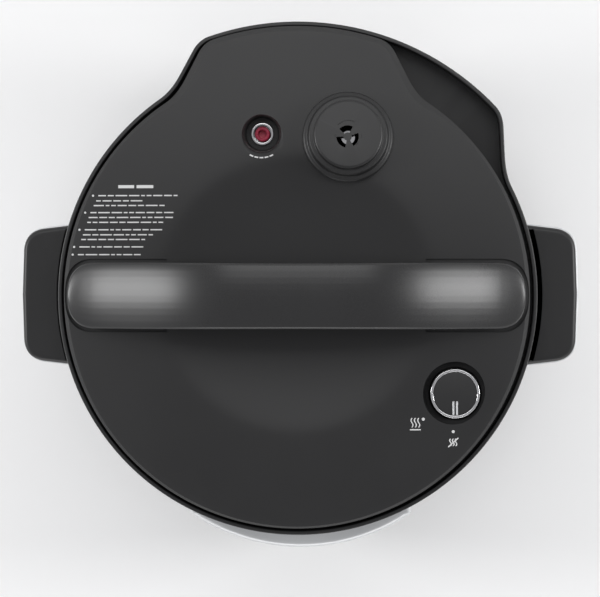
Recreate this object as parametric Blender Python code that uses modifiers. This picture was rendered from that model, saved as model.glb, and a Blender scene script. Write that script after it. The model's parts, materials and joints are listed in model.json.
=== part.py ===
"""An electric pressure cooker with a twist-lock lid, built as the separate pieces it comes apart into.

The pot's axis is vertical. +X is the cook's right, -Y is the front with the control panel, and +Z is up.
The base stands on z = 0. Every length is in metres. Plan angles run clockwise from +Y, as seen from above.
"""

import math

import bmesh
import bpy
from mathutils import Matrix, Vector

# Driving dimensions
LID_R = 0.1390            # round edge of the lid
LOBE_R = 0.1607           # outer edge of the lobe at the back of the lid
COLLAR_R = 0.1438         # round outside of the collar
BAY_R = 0.1642            # outside of the bay that the lobe swings in
PANEL_Y = -0.1560         # front of the control panel
BUTTON_TRAVEL = 0.0008
BUTTON_PROUD = 0.0014     # how far a button's cap stands out of the fascia
AXIS_Y = -(BAY_R + PANEL_Y - BUTTON_PROUD) / 2   # puts the origin under the middle of the whole cooker
HOUSING_R = 0.1412
POT_R = 0.1122            # outside of the inner pot's wall
LID_TURN = 26             # degrees from locked to open
SLIDER_START, SLIDER_END = -17.5, -12.5   # plan angles of the slider with the lid locked
DIAL_TURN = 50            # degrees from sealed to venting

# Heights
PAN_BOTTOM = 0.0060
PAN_TOP = 0.0440
INLET_Z = 0.0270          # middle of the power inlet
HOUSING_TOP = 0.1960
COLLAR_TOP = 0.2480
DECK_TOP = 0.2290         # floor of the collar's bay
LINER_FLOOR = 0.0500
POT_FLOOR = 0.0667
POT_RIM = 0.2250
PLATE_TOP = 0.2385        # top of the lid's steel plate
LID_SKIRT_BOTTOM = 0.2335
SHOULDER_R = 0.0812       # where the lid's slope meets the dished middle
SHOULDER_Z = 0.2710
DISH_Z = 0.2630           # bottom of the dish under the handle
LID_SLOPE = 0.1207        # fall of the lid's shoulder, metre per metre
HANDLE_TOP = 0.3150
BRIDGE_UNDER = 0.2995     # underside of the handle over the pot's axis

# Plan radii of what stands in a circle
FOOT_CIRCLE_R = 0.1080
BASE_SCREW_CIRCLE_R = 0.0900
ELEMENT_R = 0.0680        # middle of the heating element
SLIDER_R = 0.1500         # middle of the slider's track
COLLAR_HOLE_R = 0.1350

GAP = 0.0003              # left between pieces that touch
WALL = 0.0025             # moulded plastic
SHEET = 0.0015            # pressed metal
WELD = 1e-6
SHARP_ABOVE = math.radians(30)
MERGE = 1e-5
ROUND = 40                # sides of a large turned piece
SMALL = 16                # sides of a small one
OFF_SEAM = (0, 0, math.radians(1.7))    # turns a rod, so that its corners miss the edges of what it cuts
DOME_TURN = (0, 0, math.radians(-2.3))  # does the same for a dome

# Lid fittings, from the pot's axis
VALVE_XY = Vector((0.0307, 0.0939))
BOBBER_XY = Vector((-0.0206, 0.0963))
DIAL_XY = Vector((0.0943, -0.0582))
HANDLE_HALF_WIDTH = 0.0210
HANDLE_REACH = 0.1360
STEEP_X = 0.1000          # where the handle's back is steepest
STEEPEST = 0.533          # how steep, metre per metre
TIP_EASE = 0.75           # share of that slope lost again at the tips
BRIDGE_END = 0.0800       # where the handle's underside comes down to its seat
BRIDGE_FALL = 0.0282      # how far it has come down there
VENT_TURN = -10           # plan angle of the first steam vent
SCREW_X = 0.1050          # handle screws
LUGS = 8
LUG_DEGREES = 18

# Scotch yoke from the dial to the steam valve
CRANK_R = 0.0080
LINK_BOTTOM = 0.2425
LINK_TOP = 0.2445
WEIGHT_LOW = 0.2505       # underside of the weight's flange, which the link's ramps lift
WEIGHT_LIFT = 0.0030
LINK_TRAVEL = 2 * CRANK_R * math.sin(math.radians(DIAL_TURN / 2))

# Control panel
PANEL_ARC_R = 0.1200
PANEL_ARC_Y = PANEL_Y + PANEL_ARC_R
PANEL_HALF = 0.0680
PANEL_LOW, PANEL_HIGH = 0.0640, 0.1840
BUTTON_R = 0.0065
STEM_R = 0.0022           # plunger behind each button
SWITCH_TALL = 0.0035      # switch body under each button
SWITCH_CLEAR = 0.0004     # from a pressed plunger to its switch
BOARD_Y = -0.1394         # middle of the control board
BOARD_THICK = 0.0016
BUTTON_X = (-0.0300, 0.0, 0.0300)
BUTTON_Z = (0.1120, 0.0920)
DISPLAY_Z = 0.1460
DISPLAY_HALF = (0.0250, 0.0130)

# Drip cup at the back
CUP_Y = 0.1535
CUP_Z = 0.1520
RAILS_Y = 0.1515

# Side handles
GRIP_X = 0.1690
TRIM_PROUD = 0.0010
GRIP_ROOT_Y = 0.0426
GRIP_TOP = 0.2120


class Finish:
    """A material's colour, roughness and metallic value."""

    def __init__(self, name, colour, roughness, metallic=0.0):
        self.name, self.colour, self.roughness, self.metallic = name, colour, roughness, metallic

    def material(self):
        """The Blender material, made once."""
        found = bpy.data.materials.get(self.name)
        if found:
            return found
        made = bpy.data.materials.new(self.name)
        made.use_nodes = True
        shader = made.node_tree.nodes["Principled BSDF"]
        shader.inputs["Base Color"].default_value = (*self.colour, 1.0)
        shader.inputs["Roughness"].default_value = self.roughness
        shader.inputs["Metallic"].default_value = self.metallic
        return made


CHARCOAL = Finish("charcoal_plastic", (0.045, 0.045, 0.047), 0.45)
HANDLE_GREY = Finish("handle_plastic", (0.060, 0.060, 0.063), 0.32)
BLACK = Finish("black_plastic", (0.020, 0.020, 0.022), 0.50)
STEEL = Finish("brushed_steel", (0.62, 0.62, 0.64), 0.30, 1.0)
CHROME = Finish("chrome", (0.80, 0.80, 0.82), 0.10, 1.0)
ALUMINIUM = Finish("cast_aluminium", (0.55, 0.56, 0.58), 0.45, 1.0)
SILVER = Finish("silver_plastic", (0.72, 0.73, 0.75), 0.35, 0.6)
SILICONE = Finish("silicone", (0.78, 0.78, 0.76), 0.55)
RED = Finish("red_silicone", (0.70, 0.04, 0.08), 0.40)
RUBBER = Finish("rubber", (0.030, 0.030, 0.030), 0.80)
BOARD = Finish("circuit_board", (0.03, 0.22, 0.09), 0.50)
GLASS = Finish("display_glass", (0.02, 0.02, 0.03), 0.08)


def clear_scene():
    """Starts from an empty scene with a collection for the cooker and one for cutters."""
    for obj in list(bpy.data.objects):
        bpy.data.objects.remove(obj)
    for name in ("pressure_cooker", "cutters"):
        made = bpy.data.collections.new(name)
        bpy.context.scene.collection.children.link(made)


def axis(name, at, parent=None, turn=0.0):
    """An empty that carries the pieces of one joint."""
    empty = bpy.data.objects.new(name, None)
    bpy.data.collections["pressure_cooker"].objects.link(empty)
    empty.parent = parent
    empty.location = at
    empty.rotation_euler = (0, 0, turn)
    return empty


def place(name, mesh, finish, parent, at=(0, 0, 0), turn=(0, 0, 0)):
    """Links a mesh as one named piece."""
    obj = bpy.data.objects.new(name, mesh)
    bpy.data.collections["pressure_cooker"].objects.link(obj)
    if finish:
        mesh.materials.append(finish.material())
    obj.parent = parent
    obj.location = at
    obj.rotation_euler = turn
    return obj


def helper(obj):
    """Marks a cutter, which is no piece of its own."""
    bpy.data.collections["pressure_cooker"].objects.unlink(obj)
    bpy.data.collections["cutters"].objects.link(obj)
    obj.hide_render = True
    obj.display_type = "WIRE"


def combine(obj, operation, others):
    """Adds one exact Boolean for each of the other solids."""
    for other in others:
        boolean = obj.modifiers.new(other.name, "BOOLEAN")
        boolean.operation = operation
        boolean.solver = "EXACT"
        boolean.object = other
        helper(other)
    return obj


def cut(obj, *others):
    return combine(obj, "DIFFERENCE", others)


def join(obj, *others):
    return combine(obj, "UNION", others)


def overlap(obj, *others):
    return combine(obj, "INTERSECT", others)


def turned(name, profile, finish, parent, at=(0, 0, 0), steps=ROUND, turn=(0, 0, 0)):
    """A solid of revolution. The profile runs clockwise in the X-Z plane, and is open only on the axis."""
    mesh = bpy.data.meshes.new(name)
    edges = [(i, i + 1) for i in range(len(profile) - 1)]
    if profile[0][0] > 0:
        edges.append((len(profile) - 1, 0))
    mesh.from_pydata([(r, 0, z) for r, z in profile], edges, [])
    obj = place(name, mesh, finish, parent, at, turn)
    screw = obj.modifiers.new("Turn", "SCREW")
    screw.steps = screw.render_steps = steps
    screw.use_merge_vertices = True
    screw.merge_threshold = MERGE
    return obj


def rod(name, radius, bottom, top, finish, parent, at=(0, 0, 0), steps=SMALL, turn=OFF_SEAM):
    """A plain cylinder standing along its own Z."""
    profile = [(0, top), (radius, top), (radius, bottom), (0, bottom)]
    return turned(name, profile, finish, parent, at, steps, turn)


def ring(name, inner, outer, bottom, top, finish, parent, at=(0, 0, 0), steps=ROUND, turn=(0, 0, 0)):
    """A plain ring of rectangular section."""
    profile = [(inner, top), (outer, top), (outer, bottom), (inner, bottom)]
    return turned(name, profile, finish, parent, at, steps, turn)


def prism(name, outlines, bottom, top, finish, parent, at=(0, 0, 0), turn=(0, 0, 0)):
    """A flat outline, with any holes after it, extruded from bottom to top."""
    curve = bpy.data.curves.new(name, "CURVE")
    curve.dimensions = "2D"
    curve.fill_mode = "BOTH"
    curve.extrude = (top - bottom) / 2
    for outline in outlines:
        spline = curve.splines.new("POLY")
        spline.points.add(len(outline) - 1)
        spline.use_cyclic_u = True
        for point, (x, y) in zip(spline.points, outline):
            point.co = (x, y, 0, 1)
    flat = bpy.data.objects.new(name + "_outline", curve)
    bpy.context.scene.collection.objects.link(flat)
    bpy.context.view_layer.update()
    graph = bpy.context.evaluated_depsgraph_get()
    mesh = bpy.data.meshes.new_from_object(flat.evaluated_get(graph))
    bpy.data.objects.remove(flat)
    solid = bmesh.new()
    solid.from_mesh(mesh)
    bmesh.ops.remove_doubles(solid, verts=solid.verts, dist=WELD)
    bmesh.ops.recalc_face_normals(solid, faces=solid.faces)
    bmesh.ops.translate(solid, verts=solid.verts, vec=(0, 0, (top + bottom) / 2))
    solid.to_mesh(mesh)
    solid.free()
    mesh.materials.clear()
    mesh.shade_smooth()
    mesh.set_sharp_from_angle(angle=SHARP_ABOVE)
    return place(name, mesh, finish, parent, at, turn)


def block(name, size, finish, parent, at=(0, 0, 0), turn=(0, 0, 0), bevel=0.0):
    """A box centred on its own origin, with broken edges if a bevel is given."""
    mesh = bpy.data.meshes.new(name)
    solid = bmesh.new()
    bmesh.ops.create_cube(solid, size=1.0, matrix=Matrix.Diagonal((*size, 1.0)))
    solid.to_mesh(mesh)
    solid.free()
    obj = place(name, mesh, finish, parent, at, turn)
    if bevel:
        edge = obj.modifiers.new("Edges", "BEVEL")
        edge.width = bevel
        edge.segments = 2
    return obj


def polar(radius, degrees):
    """A plan point at an angle clockwise from +Y."""
    angle = math.radians(degrees)
    return (radius * math.sin(angle), radius * math.cos(angle))


def arc(radius, start, end, steps):
    """Plan points along an arc about the axis, both ends included."""
    return [polar(radius, start + (end - start) * i / steps) for i in range(steps + 1)]


def eased(before, corner, after, steps=4):
    """A corner rounded as a curve that leaves towards it and arrives from it."""
    a, c, b = Vector(before), Vector(corner), Vector(after)
    shares = [i / steps for i in range(steps + 1)]
    return [tuple((1 - t) ** 2 * a + 2 * t * (1 - t) * c + t * t * b) for t in shares]


def along(start, end, share):
    """The point at a share of the way from start to end."""
    return tuple(Vector(start).lerp(Vector(end), share))


def lobed(radius, lobe_radius, left, right, offset=0.0, sides=ROUND):
    """A circle with a lobe at the back. left and right are each (corner angle, foot angle) of a flank."""
    r, lobe = radius + offset, lobe_radius + offset
    spread = math.degrees(offset / lobe)
    left_corner, left_foot = left[0] - spread, left[1] - spread
    right_corner, right_foot = right[0] + spread, right[1] + spread
    ease_foot, ease_corner = 4.0, 2.5
    lc, lf = polar(lobe, left_corner), polar(r, left_foot)
    rc, rf = polar(lobe, right_corner), polar(r, right_foot)
    outline = arc(r, right_foot + ease_foot, 360 + left_foot - ease_foot, sides)[:-1]
    outline += eased(polar(r, left_foot - ease_foot), lf, along(lf, lc, 0.35))
    outline += eased(along(lf, lc, 0.75), lc, polar(lobe, left_corner + ease_corner))[:-1]
    outline += arc(lobe, left_corner + ease_corner, right_corner - ease_corner, sides // 5)[:-1]
    outline += eased(polar(lobe, right_corner - ease_corner), rc, along(rc, rf, 0.25))
    outline += eased(along(rc, rf, 0.65), rf, polar(r, right_foot + ease_foot))[:-1]
    return outline


def lid_outline(offset=0.0):
    return lobed(LID_R, LOBE_R, (-20.2, -31.0), (20.2, 31.0), offset)


def bay_outline(offset=0.0):
    """The inside of the collar's rim, which the lid swings in. It stands WALL inside the collar."""
    return lobed(COLLAR_R - WALL, BAY_R - WALL, (-20.9, -31.4), (48.2, 59.6), offset)


def sector(inner, outer, start, end, steps=4):
    """A plan sector of a ring."""
    return arc(outer, start, end, steps) + arc(inner, end, start, steps)


def toothed(plain, toothed_r, count, degrees, sides=3):
    """A closed edge at the plain radius, with teeth out or in to the other one."""
    pitch = 360 / count
    edge = []
    for i in range(count):
        middle = i * pitch
        edge += arc(toothed_r, middle - degrees / 2, middle + degrees / 2, sides)
        edge += arc(plain, middle + degrees / 2, middle + pitch - degrees / 2, sides)
    return edge


def circle(radius, sides=ROUND, centre=(0, 0)):
    return [(x + centre[0], y + centre[1]) for x, y in arc(radius, 0, 360, sides)[:-1]]


def rounded_box(half_x, half_y, corner, steps=3):
    """A rectangle's outline with round corners."""
    points = []
    for quarter, (sx, sy) in enumerate(((1, 1), (1, -1), (-1, -1), (-1, 1))):
        cx, cy = sx * (half_x - corner), sy * (half_y - corner)
        points += [(cx + x, cy + y) for x, y in arc(corner, 90 * quarter, 90 * quarter + 90, steps)]
    return points


def lid_surface(radius):
    """Height of the lid's top at a distance from the axis."""
    if radius < SHOULDER_R:
        return DISH_Z + (SHOULDER_Z - DISH_Z) * (radius / SHOULDER_R) ** 2
    return SHOULDER_Z - LID_SLOPE * (radius - SHOULDER_R)


def handle_back(x):
    """Height of the handle's back: level in the middle, steepest near the seats, easing again at the tips."""
    near = min(x, STEEP_X)
    drop = STEEPEST / 2 * (near - STEEP_X / math.pi * math.sin(math.pi * near / STEEP_X))
    past = max(0.0, x - STEEP_X)
    return HANDLE_TOP - drop - STEEPEST * (past - TIP_EASE * past ** 3 / (3 * (HANDLE_REACH - STEEP_X) ** 2))


def dome_profile(drop=0.0):
    """Half section of a solid with the lid's top, lowered by drop."""
    radii = [SHOULDER_R * share for share in (0, 0.4, 0.75, 1)] + [LID_R, 0.1720]
    top = [(r, lid_surface(r) - drop) for r in radii]
    return [*top, (radii[-1], 0.2200), (0, 0.2200)]


def build_base(root):
    """Bottom pan, feet, screws, inlet and the stainless housing."""
    pan = turned("base_pan", [
        (0, 0.0085), (0.1270, 0.0085), (0.1345, 0.0140), (0.1387, PAN_TOP - 0.004),
        (0.1387, PAN_TOP + 0.004), (0.1400, PAN_TOP + 0.004), (0.1400, PAN_TOP - GAP),
        (0.1420, PAN_TOP - GAP), (0.1412, 0.0280), (0.1368, 0.0120), (0.1290, PAN_BOTTOM),
        (0, PAN_BOTTOM)], BLACK, root)
    cut(pan, block("inlet_hole", (0.0306, 0.0300, 0.0236), None, root, (0, 0.1380, INLET_Z)))
    for angle in range(0, 360, 30):
        slit = sector(0.050, 0.076, angle - 4, angle + 4, 3)
        cut(pan, prism(f"vent_{angle}", [slit], 0.002, 0.012, None, root))
    for number, angle in enumerate((45, 135, 225, 315), 1):
        x, y = polar(FOOT_CIRCLE_R, angle)
        turned(f"foot_{number}", [
            (0, PAN_BOTTOM - GAP), (0.0110, PAN_BOTTOM - GAP), (0.0100, 0.0004), (0.0094, 0), (0, 0)],
            RUBBER, root, (x, y, 0), SMALL)
    for number, angle in enumerate((12, 132, 252), 1):
        x, y = polar(BASE_SCREW_CIRCLE_R, angle)
        cut(pan, rod(f"screw_hole_{number}", 0.0023, 0, 0.02, None, root, (x, y, 0)))
        turned(f"base_screw_{number}", [
            (0, 0.0280), (0.0019, 0.0280), (0.0019, 0.0057), (0.0038, 0.0057), (0.0034, 0.0034), (0, 0.0034)],
            STEEL, root, (x, y, 0), 16)

    shell = ring("housing_shell", HOUSING_R - 0.0009, HOUSING_R, PAN_TOP, HOUSING_TOP, STEEL, root)
    cut(shell, block("board_window", (0.0880, 0.0300, 0.0960), None, root, (0, -0.1400, 0.1240)))

    inlet = block("power_inlet", (0.0300, 0.0240, 0.0230), BLACK, root, (0, 0.1330, INLET_Z))
    flange = block("inlet_flange", (0.0380, 0.0016, 0.0300), None, root, (0, 0.1429, INLET_Z))
    join(inlet, flange)
    socket = [(-0.0120, -0.0080), (0.0120, -0.0080), (0.0120, 0.0040), (0.0070, 0.0080),
              (-0.0070, 0.0080), (-0.0120, 0.0040)]
    cut(inlet, prism("inlet_socket", [socket], -0.0150, 0.0120, None, root,
                     (0, 0.1370, INLET_Z), (math.pi / 2, 0, 0)))
    pins = block("inlet_pins", (0.0200, 0.0024, 0.0100), STEEL, root, (0, 0.1194, INLET_Z))
    for number, (x, z) in enumerate(((-0.0070, -0.0020), (0.0, 0.0020), (0.0070, -0.0020)), 1):
        through = rod(f"pin_hole_{number}", 0.0019, -0.004, 0.006, None, root,
                      (x, 0.1230, INLET_Z + z), 12, (-math.pi / 2, 0, 0))
        cut(inlet, through)
        blade = block(f"pin_{number}", (0.0020, 0.0180, 0.0024), None, root, (x, 0.1280, INLET_Z + z))
        join(pins, blade)


def build_collar(root):
    """The plastic collar that rings the lid, its bay, and the steel lining pot with the locking lugs."""
    deck = [bay_outline(WALL), circle(COLLAR_HOLE_R)]
    collar = prism("upper_collar", deck, DECK_TOP - WALL, DECK_TOP, CHARCOAL, root)
    rim = prism("collar_rim", [bay_outline(WALL), bay_outline()], DECK_TOP - 0.001, COLLAR_TOP, None, root)
    skirt = turned("collar_skirt", [
        (HOUSING_R + GAP, DECK_TOP - 0.001), (COLLAR_R, DECK_TOP - 0.001), (COLLAR_R, 0.1960),
        (0.1428, 0.1900), (HOUSING_R + GAP, 0.1900)], None, root)
    bay_wall = prism("bay_wall", [bay_outline(WALL), bay_outline()], 0.2100, DECK_TOP - 0.001, None, root)
    run = sector(SLIDER_R - 0.0015, SLIDER_R + 0.0015, SLIDER_START - 0.9, SLIDER_END + LID_TURN + 0.5, 10)
    slot = prism("slider_slot", [run], 0.2100, 0.2400, None, root)
    drain = rod("drain_hole", 0.0030, 0.2100, 0.2400, None, root, (0.0070, 0.1560, 0))
    join(collar, rim, skirt, bay_wall)
    cut(collar, slot, drain)

    liner = turned("outer_pot", [
        (0.0220, LINER_FLOOR + SHEET), (0.1160, LINER_FLOOR + SHEET), (0.1160, 0.2120),
        (0.1315, 0.2140), (0.1315, 0.2308), (0.1370, 0.2308), (0.1370, DECK_TOP + GAP),
        (0.1330, DECK_TOP + GAP), (0.1330, 0.2126), (0.1175, 0.2106), (0.1175, LINER_FLOOR),
        (0.0220, LINER_FLOOR)], ALUMINIUM, root)
    lugs = toothed(0.1310, 0.1260, LUGS, LUG_DEGREES)
    join(liner, prism("liner_lugs", [circle(0.1322), lugs], 0.2216, 0.2246, None, root))


def grip_outline(side, offset=0.0, inset_root=0.0):
    """A side handle from above, as far out from its root as offset says."""
    half, reach = GRIP_ROOT_Y + offset, GRIP_X + offset
    root_r = COLLAR_R + GAP + inset_root
    knee = (0.1560, half - 0.0022)
    corner, tip = (reach - 0.0012, half - 0.0040), (reach - 0.0008, half * 0.62)
    upper = eased(knee, corner, tip, 6) + [(reach, 0.0)]
    outline = upper + [(x, -y) for x, y in reversed(upper[:-1])]
    edge = math.degrees(math.asin(half / root_r))
    outline += [(math.sqrt(root_r ** 2 - y * y), y) for y in
                (root_r * math.sin(math.radians(edge * (i / 4 - 1))) for i in range(9))]
    return [(side * x, y) for x, y in outline]


def build_side_handles(root):
    """A dark grip with a finger pocket under it, and a silver trim round its lower edge."""
    for side, word in ((-1, "left"), (1, "right")):
        grip = prism(f"side_handle_{word}", [grip_outline(side)], 0.1990, GRIP_TOP, CHARCOAL, root)
        pocket = grip_outline(side, -0.0040, 0.0050)
        cut(grip, prism(f"grip_pocket_{word}", [pocket], 0.1950, 0.2080, None, root))
        prism(f"handle_trim_{word}", [grip_outline(side, TRIM_PROUD), grip_outline(side, -0.0030, 0.0040)],
              0.1910, 0.1990 - GAP, SILVER, root)


def panel_arc(radius, half, steps=12):
    """Plan points of the panel's curve, from +X to -X."""
    edge = math.asin(half / radius)
    angles = [edge * (1 - 2 * i / steps) for i in range(steps + 1)]
    return [(radius * math.sin(a), PANEL_ARC_Y - radius * math.cos(a)) for a in angles]


def housing_arc(radius, half, steps=12):
    """Plan points along the housing behind the panel, from -X to +X."""
    edge = math.degrees(math.asin(half / radius))
    return arc(radius, 180 + edge, 180 - edge, steps)


def build_panel(root):
    """The bowed control pod, with its fascia, lens, display, buttons and board."""
    bezel = prism("panel_bezel", [
        panel_arc(PANEL_ARC_R, PANEL_HALF) + housing_arc(HOUSING_R + GAP, PANEL_HALF)],
        PANEL_LOW, PANEL_HIGH, SILVER, root)
    hollow = panel_arc(PANEL_ARC_R - 0.0045, 0.0560) + housing_arc(HOUSING_R - 0.0050, 0.0560)
    cut(bezel, prism("pod_hollow", [hollow], PANEL_LOW + WALL, PANEL_HIGH - WALL, None, root))
    seat = panel_arc(PANEL_ARC_R + 0.0040, 0.0573) + list(reversed(panel_arc(PANEL_ARC_R - 0.0018, 0.0573)))
    cut(bezel, prism("fascia_seat", [seat], 0.0767, 0.1713, None, root))
    through = panel_arc(PANEL_ARC_R, 0.0510) + list(reversed(panel_arc(PANEL_ARC_R - 0.0080, 0.0510)))
    cut(bezel, prism("fascia_back", [through], 0.0820, 0.1660, None, root))

    plate = panel_arc(PANEL_ARC_R - GAP, 0.0570) + list(reversed(panel_arc(PANEL_ARC_R - 0.0015, 0.0570)))
    fascia = prism("panel_fascia", [plate], 0.0770, 0.1710, BLACK, root)
    glass = panel_arc(PANEL_ARC_R - GAP, DISPLAY_HALF[0], 8)
    glass += list(reversed(panel_arc(PANEL_ARC_R - 0.0015, DISPLAY_HALF[0], 8)))
    low, high = DISPLAY_Z - DISPLAY_HALF[1], DISPLAY_Z + DISPLAY_HALF[1]
    prism("display_lens", [glass], low, high, GLASS, root)
    cut(fascia, block("display_hole", (2 * DISPLAY_HALF[0] + 2 * GAP, 0.0200, high - low + 2 * GAP), None,
                      root, (0, PANEL_Y, DISPLAY_Z)))
    block("display_module", (0.0460, 0.0090, 0.0260), GLASS, root, (0, -0.1450, DISPLAY_Z))
    board = block("control_board", (0.0760, BOARD_THICK, 0.0840), BOARD, root, (0, BOARD_Y, 0.1240))

    number = 0
    for z in BUTTON_Z:
        for x in BUTTON_X:
            number += 1
            turn = math.asin(x / PANEL_ARC_R)
            seat_at = (x, PANEL_ARC_Y - PANEL_ARC_R * math.cos(turn), z)
            pivot = axis(f"button_axis_{number}", seat_at, root, turn)
            room = BOARD_Y - BOARD_THICK / 2 - SWITCH_TALL - SWITCH_CLEAR - seat_at[1]
            stem = room / math.cos(turn) - BUTTON_TRAVEL - STEM_R * abs(math.tan(turn))
            flange = BUTTON_R + 0.0012
            turned(f"button_{number}", [
                (0, BUTTON_PROUD), (BUTTON_R - 0.0008, BUTTON_PROUD), (BUTTON_R, 0.0006), (BUTTON_R, -0.0020),
                (flange, -0.0020), (flange, -0.0030), (STEM_R, -0.0030), (STEM_R, -stem), (0, -stem)],
                SILVER, pivot, steps=SMALL, turn=(math.pi / 2, 0, 0))
            switch = block(f"switch_{number}", (0.0060, 2 * SWITCH_TALL, 0.0060), None, root,
                           (x - stem * math.sin(turn), BOARD_Y - BOARD_THICK / 2, z))
            join(board, switch)
            hole = rod(f"button_hole_{number}", BUTTON_R + GAP, -0.0100, 0.0040, None, pivot,
                       turn=(math.pi / 2, 0, 0))
            cut(fascia, hole)


def build_heater(root):
    """Heating plate, its element, the sprung sensor, the pressure switch and the power board."""
    turned("heating_plate", [
        (0.0180, 0.0660), (0.0900, 0.0660), (0.0920, 0.0645), (0.0920, 0.0598), (0.0180, 0.0598)],
        ALUMINIUM, root)
    turned("heating_element", [
        (ELEMENT_R - 0.0034, 0.0577), (ELEMENT_R, 0.0594), (ELEMENT_R + 0.0034, 0.0577),
        (ELEMENT_R + 0.0034, 0.0539), (ELEMENT_R, 0.0520), (ELEMENT_R - 0.0034, 0.0539)],
        STEEL, root, steps=32)
    bracket = ring("sensor_bracket", 0.0060, 0.0200, 0.0440, 0.0456, STEEL, root, steps=SMALL)
    join(bracket, ring("bracket_wall", 0.0186, 0.0200, 0.0450, 0.0570, None, root, steps=SMALL))
    sensor = axis("sensor_axis", (0, 0, 0), root)
    turned("sensor_cap", [
        (0, 0.0660), (0.0150, 0.0660), (0.0160, 0.0650), (0.0160, 0.0580), (0.0140, 0.0580),
        (0.0140, 0.0635), (0.0040, 0.0635), (0.0040, 0.0400), (0, 0.0400)], ALUMINIUM, sensor, steps=SMALL)
    coils, per_turn, wire, coil_r = 4, 10, 0.0009, 0.0090
    low, high = 0.0456 + GAP + wire, 0.0635 - GAP - wire
    points = [(coil_r * math.cos(math.tau * i / per_turn), coil_r * math.sin(math.tau * i / per_turn),
               low + (high - low) * i / (coils * per_turn)) for i in range(coils * per_turn + 1)]
    tube("sensor_spring", points, wire, STEEL, sensor)
    cover = turned("pressure_switch", [
        (0, 0.0490), (0.0090, 0.0490), (0.0090, 0.0400), (0.0130, 0.0380), (0.0130, 0.0330), (0, 0.0330)],
        BLACK, root, (0.0480, 0, 0), SMALL)
    join(cover, block("switch_tabs", (0.0040, 0.0180, 0.0080), None, root, (0.0480, 0, 0.0310)))
    board = block("power_board", (0.0900, 0.0520, BOARD_THICK), BOARD, root, (0, -0.0850, 0.0220))
    capacitor = block("capacitor", (0.0140, 0.0140, 0.0120), None, root, (0.0300, -0.0950, 0.0280))
    transformer = block("transformer", (0.0300, 0.0260, 0.0200), None, root, (-0.0200, -0.0850, 0.0320))
    join(board, capacitor, transformer)


def tube(name, points, radius, finish, parent):
    """A wire through the points, as a bevelled curve with closed ends."""
    curve = bpy.data.curves.new(name, "CURVE")
    curve.dimensions = "3D"
    curve.bevel_depth = radius
    curve.bevel_resolution = 0
    curve.use_fill_caps = True
    spline = curve.splines.new("POLY")
    spline.points.add(len(points) - 1)
    for point, place_at in zip(spline.points, points):
        point.co = (*place_at, 1)
    return place(name, curve, finish, parent)


def build_lid_sensor(root):
    """The slider that the lid's lobe carries round, and the switch it works."""
    plate = sector(SLIDER_R - 0.0035, SLIDER_R + 0.0035, SLIDER_START, SLIDER_END)
    stem = sector(SLIDER_R - 0.0011, SLIDER_R + 0.0011, SLIDER_START + 1, SLIDER_END - 1)
    slider = prism("lid_slider", [plate], DECK_TOP + GAP, 0.2326, BLACK, root)
    join(slider, prism("slider_stem", [stem], 0.2222, 0.2310, None, root))
    middle = (SLIDER_START + SLIDER_END) / 2
    turn = (0, 0, math.radians(-middle))
    switch_at = (*polar(SLIDER_R, middle), 0.2170)
    switch = block("lid_switch", (0.0160, 0.0070, 0.0080), BLACK, root, switch_at, turn)
    join(switch, block("switch_ear", (0.0160, 0.0020, 0.0090), None, root,
                       (*polar(0.1456, middle), DECK_TOP - WALL - GAP - 0.0045), turn))


def build_drip_cup(root):
    """The cup that catches condensed steam under the bay, and the rails that it slides on."""
    outline = rounded_box(0.0330, 0.0095, 0.001)
    rails = prism("cup_rails", [outline], CUP_Z - 0.0020, CUP_Z + 0.0020, BLACK, root, (0, RAILS_Y, 0))
    cut(rails, block("rail_gap", (0.0560, 0.0300, 0.0100), None, root, (0, RAILS_Y + 0.0070, CUP_Z)))
    cut(rails, rod("rail_back", HOUSING_R + GAP, 0.14, 0.16, None, root, steps=96))
    cup = block("drip_cup", (0.0540, 0.0170, 0.0420), SILICONE, root, (0, CUP_Y, CUP_Z), bevel=0.0020)
    cut(cup, block("cup_inside", (0.0500, 0.0130, 0.0440), None, root, (0, CUP_Y, CUP_Z + 0.0040)))
    ledge = block("cup_ledge", (0.0640, 0.0170, 0.0020), None, root, (0, CUP_Y, CUP_Z + 0.0035))
    cut(ledge, block("ledge_hole", (0.0520, 0.0150, 0.0060), None, root, (0, CUP_Y, CUP_Z + 0.0035)))
    join(cup, ledge)


def build_inner_pot(root):
    turned("inner_pot", [
        (0, POT_FLOOR + WALL), (0.1060, POT_FLOOR + WALL), (0.1100, 0.0712), (0.1110, 0.0750),
        (0.1110, 0.2180), (0.1120, POT_RIM - 0.0010), (0.1130, POT_RIM), (0.1178, POT_RIM),
        (0.1185, POT_RIM - 0.0008), (0.1185, POT_RIM - 0.0022), (0.1136, POT_RIM - 0.0022),
        (POT_R, 0.2180), (POT_R, 0.0740), (0.1108, 0.0690), (0.1070, POT_FLOOR), (0, POT_FLOOR)],
        STEEL, root)


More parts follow.
